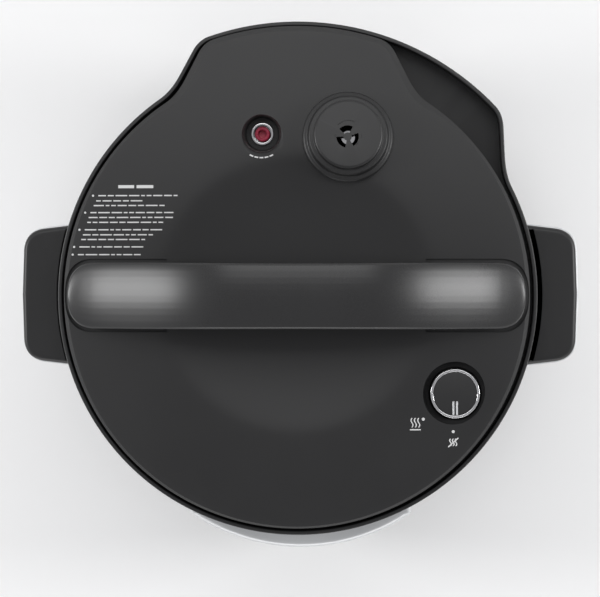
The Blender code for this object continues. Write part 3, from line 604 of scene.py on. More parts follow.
@dataclass(frozen=True)
class Worked:
    """A metal with the lines of the tool that made it."""

    name: str
    colour: Colour
    roughness: float
    lines: float = 2400.0
    bump: float = 0.05
    spread: float = 0.10

    def made(self, effects: Effects) -> bpy.types.Material:
        """Builds the material from the shared node groups."""
        material, n, shader, place = started(self.name)
        lines = n.add("ShaderNodeGroup", node_tree=effects.lines)
        n.feed(place, lines.inputs["Vector"])
        lines.inputs["Scale"].default_value = self.lines
        tone = lines.outputs["Tone"]
        n.feed(n.blend(tone, shade(self.colour, 1 - self.spread), shade(self.colour, 1 + self.spread)),
               shader.inputs["Base Color"])
        n.feed(n.math("ADD", n.math("MULTIPLY", n.math("SUBTRACT", tone, 0.5), 0.25), self.roughness),
               shader.inputs["Roughness"])
        bump = n.add("ShaderNodeBump", {"Height": lines.outputs["Height"], "Strength": self.bump,
                                        "Distance": 0.05 * MM})
        n.feed(bump.outputs[0], shader.inputs["Normal"])
        shader.inputs["Metallic"].default_value = 1.0
        return material


@dataclass(frozen=True)
class Boarded:
    """A circuit board with paler tracks."""

    name: str
    colour: Colour

    def made(self, effects: Effects) -> bpy.types.Material:
        """Builds the material from the shared node groups."""
        material, n, shader, place = started(self.name)
        tracks = n.add("ShaderNodeTexBrick", {"Vector": place, "Scale": 90.0, "Mortar Size": 0.04,
                                              "Color1": shade(self.colour, 1),
                                              "Color2": shade(self.colour, 0.9),
                                              "Mortar": shade(self.colour, 2.2)}).outputs[0]
        grain = n.add("ShaderNodeGroup", node_tree=effects.grain)
        n.feed(place, grain.inputs["Vector"])
        grain.inputs["Scale"].default_value = 900.0
        tone = grain.outputs["Tone"]
        n.feed(n.blend(n.math("MULTIPLY", tone, 0.3), tracks, shade(self.colour, 0.5)),
               shader.inputs["Base Color"])
        n.feed(n.math("MULTIPLY", tone, 0.8), shader.inputs["Roughness"])
        return material


class Paint:
    """Every material of the cooker."""

    def __init__(self) -> None:
        """Makes them all."""
        fx = Effects()
        self.lid = Moulded("lid_charcoal", (0.0150, 0.0150, 0.0155), 0.42, specular=0.45).made(fx)
        # The lid rim's chamfer is painted pale and part-metallic: a painted highlight on what is charcoal
        # plastic.
        self.lid_rim_painted_highlight = Moulded("lid_rim_painted_highlight", (0.44, 0.44, 0.45), 0.32, bump=0.04, spread=0.10,
                                metallic=0.8).made(fx)
        self.collar = Moulded("collar_charcoal", (0.0135, 0.0135, 0.0140), 0.40).made(fx)
        self.handle = Moulded("handle_satin", (0.0200, 0.0200, 0.0205), 0.28, grain=3200.0,
                              bump=0.05).made(fx)
        self.cap = Moulded("cap_charcoal", (0.0150, 0.0150, 0.0155), 0.40, grain=3200.0).made(fx)
        self.black = Moulded("black_moulding", (0.010, 0.010, 0.011), 0.46).made(fx)
        self.gloss = Moulded("gloss_black", (0.006, 0.006, 0.007), 0.12, bump=0.01, coat=0.6).made(fx)
        self.silver = Moulded("silver_paint", (0.60, 0.61, 0.62), 0.36, bump=0.03, spread=0.06, coat=0.2,
                              metallic=0.4).made(fx)
        self.ink = Moulded("white_ink", (0.62, 0.62, 0.62), 0.60, grain=1800.0, spread=0.10,
                           wear=0.0).made(fx)
        self.silicone = Moulded("white_silicone", (0.70, 0.70, 0.68), 0.48, subsurface=0.25,
                                spread=0.05).made(fx)
        self.red = Moulded("red_silicone_skin", (0.52, 0.035, 0.085), 0.36, spread=0.12,
                           subsurface=0.1).made(fx)
        self.rubber = Moulded("foot_rubber", (0.020, 0.020, 0.020), 0.75, grain=1500.0, bump=0.25).made(fx)
        self.cup = Moulded("cup_plastic", (0.55, 0.56, 0.57), 0.25, spread=0.04, subsurface=0.2).made(fx)
        self.steel = Worked("brushed_housing", (0.56, 0.56, 0.57), 0.30, lines=2600.0).made(fx)
        self.pot = Worked("polished_pot", (0.66, 0.66, 0.67), 0.20, lines=1500.0, bump=0.03,
                          spread=0.05).made(fx)
        self.chrome = Worked("bright_chrome", (0.86, 0.86, 0.87), 0.08, bump=0.01, spread=0.02).made(fx)
        self.aluminium = Worked("cast_plate", (0.52, 0.53, 0.54), 0.42, lines=900.0, bump=0.10).made(fx)
        self.board = Boarded("board_green", (0.02, 0.15, 0.06)).made(fx)

    def of_slot(self, slot: str) -> bpy.types.Material:
        """The material that suits a carried-over CAD node of this slot."""
        return {
            Slot.CHARCOAL: self.collar, Slot.HANDLE: self.handle, Slot.BLACK: self.black,
            Slot.STEEL: self.steel,
            Slot.CHROME: self.chrome, Slot.ALUMINIUM: self.aluminium, Slot.SILVER: self.silver,
            Slot.SILICONE: self.silicone, Slot.RED: self.red, Slot.RUBBER: self.rubber,
            Slot.BOARD: self.board, Slot.GLASS: self.gloss,
        }[Slot(slot)]


# ------------------------------------------------------------------------------------------------------------
# Where things are
# ------------------------------------------------------------------------------------------------------------


def middle(node: str) -> Vector:
    """The middle of a CAD node's box."""
    low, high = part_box(node)
    return (low + high) / 2


def bottom(node: str) -> float:
    """Height of a CAD node's underside."""
    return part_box(node)[0].z


def top(node: str) -> float:
    """Height of a CAD node's top."""
    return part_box(node)[1].z


def reach(node: str) -> float:
    """Half of a CAD node's width along X."""
    low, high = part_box(node)
    return (high.x - low.x) / 2


def on_plan(node: str) -> Vector:
    """A CAD node's middle, on plan about the pot's axis."""
    return middle(node).to_2d() - AXIS


AXIS = middle("inner_pot").to_2d()
UPRIGHT = Vector((AXIS.x, AXIS.y, 0))


@dataclass(frozen=True)
class LidForm:
    """The lid's outline and the height of its top."""

    radius: float = reach("lid_cover")
    lobe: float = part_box("lid_cover")[1].y - AXIS.y
    skirt_bottom: float = bottom("lid_cover")
    crest: float = top("lid_cover")
    shoulder: float = 81.2 * MM
    dish_depth: float = 8.0 * MM
    slope: float = 0.070
    droop: float = 0.877
    softness: float = 0.7 * MM

    def z(self, x: float, y: float) -> float:
        """Height of the lid's top at a plan point about the axis.

        Args:
            x: To the right of the axis.
            y: Behind the axis.

        Returns:
            The height. The dished middle and the falling shoulder meet in a soft crest.
        """
        out = math.hypot(x, y)
        past = out - self.shoulder
        dish = self.dish_depth * ((out / self.shoulder) ** 2 - 1)
        fall = -self.slope * past - self.droop * past * max(0.0, past)
        low = min(dish, fall)
        return self.crest + low - self.softness * math.log(
            math.exp((low - dish) / self.softness) + math.exp((low - fall) / self.softness))

    def edge(self) -> list[Vector]:
        """The lid's outline."""
        return lobed(self.radius, self.lobe, (-20.2, -31.0), (20.2, 31.0))


def lobed(radius: float, lobe: float, left: Point, right: Point) -> list[Vector]:
    """A round outline with a lobe at the back.

    Args:
        radius: Of the circle.
        lobe: Radius of the lobe's outer arc.
        left: Plan angles of the left flank's corner and foot, in degrees.
        right: The same for the right flank.

    Returns:
        The outline, clockwise from the foot of the right flank.
    """
    foot_ease, corner_ease = 3.4, 2.3
    lc, lf = polar(lobe, left[0]), polar(radius, left[1])
    rc, rf = polar(lobe, right[0]), polar(radius, right[1])
    made = arc(radius, right[1] + foot_ease, 360 + left[1] - foot_ease)[:-1]
    made += eased(polar(radius, left[1] - foot_ease), lf, lf.lerp(lc, 0.32))
    made += [lf.lerp(lc, share) for share in (0.44, 0.56, 0.68)]
    made += eased(lf.lerp(lc, 0.80), lc, polar(lobe, left[0] + corner_ease))[:-1]
    made += arc(lobe, left[0] + corner_ease, right[0] - corner_ease)[:-1]
    made += eased(polar(lobe, right[0] - corner_ease), rc, rc.lerp(rf, 0.20))
    made += [rc.lerp(rf, share) for share in (0.32, 0.44, 0.56)]
    made += eased(rc.lerp(rf, 0.68), rf, polar(radius, right[1] + foot_ease))[:-1]
    return made


LID = LidForm()


def cylinder(name: str, radius: float, low: float, high: float, at: Vector,
             steps: int = 64) -> bpy.types.Object:
    """A plain round cutter or boss, centred on plan about the pot's axis."""
    centre = UPRIGHT + at.to_3d()
    return meshed(spun([(0, high), (radius, high), (radius, low), (0, low)], centre, steps), name)


def bore(name: str, profile: Sequence[Point], at: Vector, steps: int = 96) -> bpy.types.Object:
    """A turned cutter, centred on plan about the pot's axis."""
    return meshed(spun(profile, UPRIGHT + at.to_3d(), steps), name)


# ------------------------------------------------------------------------------------------------------------
# The lid and what it carries
# ------------------------------------------------------------------------------------------------------------


@dataclass
class LidCover:
    """The moulded cover: dished middle, falling shoulder, lobe, chamfer with a painted highlight, skirt and
    wells.
    """

    paint: Paint
    wall: float = 2.5 * MM
    drop: float = 0.85
    lip: float = 0.4 * MM
    chamfer_widths: tuple[Point, ...] = (
        (0, 3.0), (19, 3.0), (24, 3.4), (32, 4.0), (40, 2.2), (50, 1.6), (90, 2.3), (135, 1.6), (180, 1.2))
    dish_rings: tuple[float, ...] = (6, 14, 24, 34, 44, 53, 61, 68, 73, 76, 78.5, 80, 81.2, 82.5, 84, 86.5,
                                     90)
    valve_hole: float = 18.2 * MM

    def chamfer(self, degrees: float) -> float:
        """Width of the chamfer at a plan angle. It is widest where the lobe leaves the circle."""
        side = abs((degrees + 180) % 360 - 180)
        for (start, wide), (end, after) in zip(self.chamfer_widths, self.chamfer_widths[1:]):
            if side <= end:
                share = (side - start) / (end - start)
                return (wide + (after - wide) * share * share * (3 - 2 * share)) * MM
        return self.chamfer_widths[-1][1] * MM

    def outside(self) -> bpy.types.Object:
        """The solid cover, with its chamfer in a material slot of its own: a pale, part-metallic painted
        highlight on the charcoal rim.
        """
        edge = LID.edge()
        brim = inset(edge, self.chamfer)
        rays = [p.normalized() for p in edge]
        last = self.dish_rings[-1] * MM
        skin = Skin(lifted([p * self.dish_rings[0] * MM for p in rays], LID.z))
        skin.draw(*[lifted([p * r * MM for p in rays], LID.z) for r in self.dish_rings[1:]])
        for step in range(1, 11):
            skin.draw(lifted([(p * last).lerp(b, step / 10) for p, b in zip(rays, brim)], LID.z))
        rim = [v - Vector((0, 0, self.drop * self.chamfer(bearing(p)))) for v,
               p in zip(lifted(edge, LID.z), edge)]
        # The chamfer strip takes material slot 1, whose pale finish is a painted highlight.
        skin.draw(rim).marked(1)
        skin.draw([v - Vector((0, 0, self.lip)) for v in rim], lifted(edge, LID.skirt_bottom + self.lip),
                  lifted(inset(edge, self.lip), LID.skirt_bottom))
        skin.cap().back_to_start().pole(Vector((AXIS.x, AXIS.y, LID.z(0, 0))))
        return meshed(skin.bm, "lid_shell")

    def inside(self) -> bpy.types.Object:
        """The hollow under the cover, less the bosses that hold the fittings."""
        edge = inset(LID.edge(), self.wall)
        rays = [p.normalized() for p in edge]
        skin = Skin(lifted([p * 10 * MM for p in rays], self.under))
        for radius in (30, 50, 65, 74, 79, 82, 88, 100, 115):
            skin.draw(lifted([p * radius * MM for p in rays], self.under))
        skin.draw(lifted(edge, self.under), lifted(edge, LID.skirt_bottom - CLEAR)).cap()
        skin.back_to_start().pole(Vector((AXIS.x, AXIS.y, self.under(0, 0))))
        hollow = meshed(skin.bm, "lid_hollow")
        return carved(hollow, [
            cylinder("float_boss", 12.8 * MM, 252 * MM, 300 * MM, on_plan("bobber_pin")),
            cylinder("dial_boss", 21.2 * MM, 256 * MM, 300 * MM, on_plan("dial_knob")),
            cylinder("centre_boss", 8.0 * MM, top("lid_plate") + GAP, 300 * MM, Vector((0, 0)))])

    def under(self, x: float, y: float) -> float:
        """Height of the cover's underside."""
        return LID.z(x, y) - self.wall

    def build(self) -> None:
        """Hollows the cover, sinks its wells and grooves, and dresses it."""
        cover = self.outside()
        float_at, dial_at = on_plan("bobber_pin"), on_plan("dial_knob")
        high = 300 * MM
        carved(cover, [
            self.inside(),
            bore("float_well", [(r * MM, z * MM) for r, z in (
                (0, 254.5), (9.6, 254.5), (11.0, 266.6), (11.3, 268.4), (11.9, 269.4), (13.4, 270.4),
                (14, 300), (0, 300))], float_at),
            bore("dial_dish", [(r * MM, z * MM) for r, z in (
                (0, 261.2), (14.9, 261.2), (15.4, 263.9), (15.9, 264.9), (17.0, 265.5), (18.0, 266.3),
                (18.7, 267.3), (19.1, 268.6), (19.3, 300), (0, 300))], dial_at),
            cylinder("float_way", 6.9 * MM, 240 * MM, 260 * MM, float_at),
            cylinder("shaft_way", 3.1 * MM, 240 * MM, 265 * MM, dial_at),
            cylinder("valve_way", self.valve_hole, 240 * MM, high, on_plan("steam_weight")),
            cylinder("screw_way", 2.3 * MM, 230 * MM, 256 * MM, Vector((0, 0)), 32),
            *[cylinder(f"handle_screw_way_{side}", 2.2 * MM, 250 * MM, 280 * MM,
                       on_plan(f"handle_screw_{side}"), 32)
              for side in ("left", "right")],
            *LidHandle.grooves()])
        dressed(cover, [self.paint.lid, self.paint.lid_rim_painted_highlight], "lid", Slot.CHARCOAL, "lid_cover")


@dataclass
class LidHandle:
    """The bridge across the lid: nearly one width from tip to tip, with a fine groove round each seat."""

    paint: Paint
    seat_half: float = 19.6 * MM
    span_half: float = 19.2 * MM
    seat_from: float = 79.0 * MM
    end_round: float = 18.0 * MM
    tip: float = 136.0 * MM
    squareness: float = 2.5
    bevel: float = 1.1 * MM
    crown: float = 1.8 * MM
    crown_steps: int = 5
    back: float = top("lid_handle")
    steep_x: float = 100.0 * MM
    steepest: float = 0.533
    tip_ease: float = 0.75
    arch: float = 299.5 * MM

    @classmethod
    def seat_outline(cls, side: int, out: float) -> list[Vector]:
        """One seat's outline on the lid, grown by a little, clockwise."""
        half, near, far = cls.seat_half + out, cls.seat_from - out, cls.tip + out
        start = far - cls.end_round
        made = [Vector((near, half))] + [Vector((near + (start - near) * i / 6, half)) for i in range(1, 6)]
        turns = [math.pi / 2 * i / 12 for i in range(13)]
        power = 2 / cls.squareness
        quarter = [Vector((start + cls.end_round * math.sin(a) ** power, half * math.cos(a) ** power))
                   for a in turns]
        made += quarter + [Vector((p.x, -p.y)) for p in reversed(quarter[:-1])]
        made += [Vector((near + (start - near) * i / 6, -half)) for i in range(5, -1, -1)]
        return made if side > 0 else [Vector((-p.x, p.y)) for p in reversed(made)]

    @classmethod
    def grooves(cls) -> list[bpy.types.Object]:
        """Cutters for the fine groove in the lid round each seat."""
        wide, under = 2.2 * MM, 0.6 * MM
        made = []
        for side in (-1, 1):
            outer, inner = cls.seat_outline(side, wide), cls.seat_outline(side, -under)
            rings = [lifted(outer, cls.above), lifted(outer, cls.sunk), lifted(inner, cls.sunk),
                     lifted(inner, cls.above)]
            made.append(meshed(tube(rings), f"seat_groove_{side}"))
        return made

    @staticmethod
    def above(x: float, y: float) -> float:
        """A height just clear of the lid."""
        return LID.z(x, y) + CLEAR

    @staticmethod
    def sunk(x: float, y: float) -> float:
        """Height of the groove's floor."""
        return LID.z(x, y) - 2.0 * MM

    def half_width(self, x: float) -> float:
        """Half of the width at a distance along the lid."""
        x = abs(x)
        share = min(1.0, x / self.steep_x)
        half = self.span_half + (self.seat_half - self.span_half) * share * share * (3 - 2 * share)
        past = (x - (self.tip - self.end_round)) / self.end_round
        if past > 0:
            half *= max(0.0, 1 - min(1.0, past) ** self.squareness) ** (1 / self.squareness)
        return half

    def top_at(self, x: float) -> float:
        """Height of the top's middle."""
        x = min(abs(x), self.tip)
        near, past = min(x, self.steep_x), max(0.0, x - self.steep_x)
        drop = self.steepest / 2 * (near - self.steep_x / math.pi * math.sin(math.pi * near / self.steep_x))
        drop += self.steepest * (past - self.tip_ease * past ** 3 / (3 * (self.tip - self.steep_x) ** 2))
        return self.back - self.crown - drop

    def bottom_at(self, x: float) -> float:
        """Height of the underside: an arch in the span and the lid's own surface at the seats."""
        x = abs(x)
        arch = self.arch - 28.2 * MM * (x / (80 * MM)) ** 2
        seat = LID.z(x, 0) + GAP
        if x <= 66 * MM:
            return arch
        if x >= 80 * MM:
            return seat
        share = (x - 66 * MM) / (14 * MM)
        share = share * share * (3 - 2 * share)
        return arch + (seat - arch) * share

    def section(self, x: float) -> list[Vector]:
        """The closed section across the handle at one place."""
        half = max(self.half_width(x), 0.4 * MM)
        high, low = self.top_at(x), self.bottom_at(x)
        bevel = min(self.bevel, 0.4 * half, 0.4 * (high - low))
        drape = LID.z(x, half) - LID.z(x, 0) if abs(x) >= 80 * MM else 0.0
        crown = self.crown * min(1.0, half / self.span_half)
        shares = [i / self.crown_steps for i in range(1 - self.crown_steps, self.crown_steps)]
        arched = [((half - bevel) * share, high + crown * (1 - share * share)) for share in shares]
        corners = [(-half, low + drape), (-half, high - bevel), (-half + bevel, high), *arched,
                   (half - bevel, high), (half, high - bevel), (half, low + drape),
                   (half * 0.5, low + drape * 0.25), (0, low), (-half * 0.5, low + drape * 0.25)]
        return [Vector((AXIS.x + x, AXIS.y + y, z)) for y, z in softened(corners, 0.45 * MM, 2)]

    def build(self) -> None:
        """Lofts the handle from tip to tip and dresses it."""
        span = [i * 4 * MM for i in range(0, 20)]
        seat = [i * 4 * MM for i in range(20, 30)]
        end = [self.tip - self.end_round * (1 - math.sin(math.pi / 2 * i / 16)) for i in range(1, 17)]
        half = span + seat + end
        stations = [-x for x in reversed(half[1:])] + half
        rings = [self.section(x) for x in stations]
        skin = Skin(rings[0]).draw(*rings[1:]).cap().back_to_start().cap()
        dressed(meshed(skin.bm, "bridge_handle"), self.paint.handle, "lid", Slot.HANDLE, "lid_handle")


@dataclass
class LidPrint:
    """White ink on the lid: dots, steam pictograms and plain bars where notes would be."""

    paint: Paint
    thick: float = 0.08 * MM
    proud: float = 0.05 * MM
    note_rows: tuple[tuple[float, float, float, bool], ...] = (
        (59.4, -118.0, -70.5, True), (56.3, -119.3, -89.7, False), (53.5, -120.8, -78.2, False),
        (49.3, -122.7, -72.9, True), (46.4, -123.8, -70.2, False), (43.5, -124.6, -77.1, False),
        (39.1, -126.1, -79.0, True), (36.1, -127.2, -85.1, False), (33.3, -128.2, -87.5, False),
        (28.9, -129.3, -90.6, True), (24.3, -130.2, -92.5, True))
    word_lengths: tuple[float, ...] = (4.6, 2.8, 6.2, 3.6, 5.4, 2.2, 7.0)

    def on_lid(self, x: float, y: float) -> float:
        """Height of the ink's top."""
        return LID.z(x, y) + self.proud

    def bar(self, start: Vector, end: Vector, half: float) -> bmesh.types.BMesh:
        """A straight stroke that lies on the lid."""
        along = (end - start).normalized()
        across = Vector((-along.y, along.x)) * half
        steps = max(2, math.ceil((end - start).length / (2 * MM)))
        line = [start.lerp(end, i / steps) for i in range(steps + 1)]
        return ribbon([lifted([p + across for p in line], self.on_lid), lifted(line, self.on_lid),
                       lifted([p - across for p in line], self.on_lid)], self.thick)

    def wave(self, start: Vector, tall: float, sway: float, half: float) -> bmesh.types.BMesh:
        """A wavy stroke, for rising steam."""
        steps = 14
        line = [start + Vector((sway * math.sin(FULL_TURN * i / steps), tall * i / steps))
                for i in range(steps + 1)]
        side = Vector((half, 0))
        return ribbon([lifted([p - side for p in line], self.on_lid),
                       lifted([p + side for p in line], self.on_lid)],
                      self.thick)

    def spot(self, centre: Vector, outer: float, inner: float) -> bmesh.types.BMesh:
        """A small ring, or a near-solid dot where the hole is tiny."""
        rows = [[centre + polar(r, 15 * i) for i in range(25)] for r in (outer, inner)]
        return ribbon([lifted(row, self.on_lid) for row in rows], self.thick)

    def dashes(self, centre: Vector, radius: float, start: float, end: float, count: int,
               half: float) -> list[bmesh.types.BMesh]:
        """Short strokes round a fitting."""
        pitch = (end - start) / count
        made = []
        for i in range(count):
            angles = [start + pitch * (i + 0.12 + 0.76 * j / 4) for j in range(5)]
            rows = [[centre + polar(radius + s * half, a) for a in angles] for s in (1, -1)]
            made.append(ribbon([lifted(row, self.on_lid) for row in rows], self.thick))
        return made

    def group(self, name: str, strokes: Iterable[bmesh.types.BMesh]) -> None:
        """Makes one piece of several strokes."""
        whole = bmesh.new()
        for stroke in strokes:
            part = bpy.data.meshes.new("stroke")
            stroke.to_mesh(part)
            stroke.free()
            whole.from_mesh(part)
            bpy.data.meshes.remove(part)
        dressed(meshed(whole, name), self.paint.ink, "lid", Slot.SILVER)

    def build(self) -> None:
        """Prints the marks of the dial and the float, and the bars of the notes."""
        dial, bob = on_plan("dial_knob"), on_plan("bobber_pin")
        fine = 0.35 * MM
        closed = dial + in_mm(-1.1, -29.6)
        self.group("mark_sealed", [self.spot(dial + in_mm(-1.1, -22.6), 0.9 * MM, 0.1 * MM),
                                   self.wave(closed + in_mm(-1.6, -1.6), 4.4 * MM, 0.5 * MM, fine),
                                   self.wave(closed + in_mm(0, -1.6), 4.4 * MM, 0.5 * MM, fine),
                                   self.wave(closed + in_mm(1.6, -1.6), 4.4 * MM, 0.5 * MM, fine),
                                   self.bar(closed + in_mm(-3.0, -2.2), closed + in_mm(3.0, 3.2), fine)])
        vented = dial + in_mm(-23.6, -17.6)
        self.group("mark_venting", [self.spot(dial + in_mm(-18.9, -15.1), 0.9 * MM, 0.1 * MM),
                                    self.wave(vented + in_mm(-2.0, -2.4), 5.6 * MM, 0.6 * MM, fine),
                                    self.wave(vented + in_mm(0, -2.4), 5.6 * MM, 0.6 * MM, fine),
                                    self.wave(vented + in_mm(2.0, -2.4), 5.6 * MM, 0.6 * MM, fine),
                                    self.bar(vented + in_mm(-3.2, -3.8), vented + in_mm(3.2, -3.8), fine)])
        self.group("float_dashes", self.dashes(bob, 14.5 * MM, 150, 210, 5, 0.4 * MM))
        words = []
        for row, (y, left, right, marked) in enumerate(self.note_rows):
            if marked:
                words.append(self.spot(in_mm(left - 3.2, y), 0.65 * MM, 0.08 * MM))
            start, turn = left, row
            while right - start > 2.0:
                long = min(self.word_lengths[turn % len(self.word_lengths)], right - start)
                words.append(self.bar(in_mm(start, y), in_mm(start + long, y), 0.36 * MM))
                start += long + 1.1
                turn += 3
        self.group("note_bars", words)
        self.group("note_title", [self.bar(in_mm(-106.0, 64.7), in_mm(-96.5, 64.7), 0.9 * MM),
                                  self.bar(in_mm(-95.0, 64.7), in_mm(-85.0, 64.7), 0.9 * MM)])


@dataclass
class SteamCap:
    """The stepped cap, square to the shoulder, with three vents."""

    paint: Paint
    vent_turn: float = -10.0
    skirt_rise: float = 2.94 * MM
    groove_floor: float = 13.1 * MM
    grooves: tuple[Point, ...] = ((-48, 28), (92, 108), (132, 148), (212, 226), (252, 268))
    profile: tuple[Point, ...] = (
        (0, 13.5), (19.2, 13.5), (20.0, 13.1), (20.5, 12.4), (20.5, 8.4), (20.7, 8.1), (22.9, 7.9),
        (23.5, 7.2),
        (24.1, 3.9), (24.5, 3.5), (26.0, 3.1), (26.8, 2.3), (27.0, 1.4), (27.0, 0.3), (19.6, 0.3),
        (18.8, 11.5), (0, 11.5))

    def build(self) -> None:
        """Turns the cap, cuts its vents and fine grooves, and leans it."""
        at = on_plan("steam_weight")
        seat = Vector((AXIS.x + at.x, AXIS.y + at.y, bottom("steam_cap") + self.skirt_rise))
        lean = Matrix.Rotation(math.atan(0.1207), 4, Vector((-at.y, at.x, 0)).normalized())
        rounded = [(r * MM, z * MM) for r, z in self.profile]
        cap = meshed(spun(softened(rounded, 0.35 * MM, 3, closed=False), seat, 160, lean), "cap_shell")
        cutters = []
        for number in range(3):
            turn = 120 * number + self.vent_turn
            wedge = sector(2.4 * MM, 6.6 * MM, turn - 38, turn + 38, at)
            cutters.append(meshed(slab(softened_outline(wedge, 0.5 * MM), 255 * MM, 300 * MM),
                                  f"vent_{number}"))
        for number, (start, end) in enumerate(self.grooves):
            line = slab(sector(7.7 * MM, 8.15 * MM, start, end), self.groove_floor, 16 * MM,
                        about=Vector((0, 0)))
            cutters.append(meshed(line, f"groove_{number}", Matrix.Translation(seat) @ lean))
        carved(cap, cutters)
        dressed(cap, self.paint.cap, "steam_cap", Slot.CHARCOAL, "steam_cap")


def softened_outline(points: Sequence[Vector], radius: float) -> list[Vector]:
    """A closed outline whose corners are rounded."""
    kept = [p for i, p in enumerate(points) if (p - points[i - 1]).length > WELD]
    return [Vector(p) for p in softened([tuple(p) for p in kept], radius, 2)]


@dataclass
class FloatValve:
    """The red float in its bright sleeve, and the gasket below the plate."""

    paint: Paint

    def build(self) -> None:
        """Turns the pin, the sleeve and the gasket."""
        at = UPRIGHT + on_plan("bobber_pin").to_3d()
        high, low = top("bobber_pin"), bottom("bobber_pin")
        pin = [(2.3, high * 1000 - 4.5), (2.3, high * 1000 - 0.5), (2.7, high * 1000), (3.9, high * 1000),
               (4.5, high * 1000 - 0.6), (4.4, high * 1000 - 14.5), (2.6, high * 1000 - 14.5),
               (2.6, low * 1000)]
        profile = [(0, high - 4.5 * MM)] + [(r * MM, z * MM) for r, z in pin] + [(0, low)]
        dressed(meshed(spun(softened(profile, 0.25 * MM, 3, closed=False), at, 64), "float_pin"),
                self.paint.red, "bobber", Slot.RED, "bobber_pin")
        guide_top, guide_low = top("bobber_guide"), bottom("bobber_guide")
        sleeve = softened([(5.3 * MM, guide_low), (5.3 * MM, guide_top), (6.5 * MM, guide_top),
                           (6.5 * MM, guide_low)],
                          0.2 * MM, 3)
        dressed(meshed(spun(sleeve, at, 64), "float_sleeve"), self.paint.chrome, "lid", Slot.STEEL,
                "bobber_guide")
        seal_top, seal_low = top("bobber_gasket"), bottom("bobber_gasket")
        seal = softened([(2.9 * MM, seal_low), (2.9 * MM, seal_top), (6.0 * MM, seal_top),
                         (6.0 * MM, seal_low)],
                        0.6 * MM, 3)
        dressed(meshed(spun(seal, at, 48), "float_seal"), self.paint.silicone, "bobber", Slot.SILICONE,
                "bobber_gasket")


@dataclass
class Dial:
    """The venting dial: dark disc, bright ring and pointer."""

    paint: Paint
    knob_r: float = 12.9 * MM
    edge_r: float = 14.4 * MM
    ring_outer: float = 14.55 * MM
    ring_inner: float = 13.05 * MM

    def build(self) -> None:
        """Turns the knob and its ring, and lays the pointer on it."""
        at = UPRIGHT + on_plan("dial_knob").to_3d()
        high, low, ring_top = top("dial_knob"), bottom("dial_knob"), top("dial_ring")
        knob = [(0, high), (self.knob_r, high), (self.knob_r, high - 1.2 * MM),
                (self.edge_r, high - 1.2 * MM), (self.edge_r - 0.4 * MM, low), (0, low)]
        dressed(meshed(spun(softened(knob, 0.2 * MM, 3, closed=False), at, 96), "venting_knob"),
                self.paint.cap, "dial", Slot.CHARCOAL, "dial_knob")
        band = [(self.ring_inner, ring_top - 1.4 * MM), (self.ring_inner, ring_top),
                (self.ring_outer, ring_top), (self.ring_outer, ring_top - 1.4 * MM)]
        dressed(meshed(spun(softened(band, 0.35 * MM, 4), at, 128), "bright_ring"), self.paint.chrome, "dial",
                Slot.CHROME, "dial_ring")
        about = at.to_2d()
        for number, x in enumerate((-1.05, 1.05)):
            rod = rounded_box(0.55 * MM, 4.1 * MM, 0.35 * MM, Vector((x * MM, -8.6 * MM)))
            dressed(meshed(slab(rod, high - 0.3 * MM, high + 0.45 * MM, 0.2 * MM, about=about),
                           f"pointer_bar_{number}"),
                    self.paint.silver, "dial", Slot.SILVER)
        core = rounded_box(1.75 * MM, 4.5 * MM, 0.3 * MM, Vector((0, -8.5 * MM)))
        dressed(meshed(slab(core, high - 0.3 * MM, high + 0.25 * MM, 0.15 * MM, about=about), "pointer_bed"),
                self.paint.gloss, "dial", Slot.CHARCOAL)


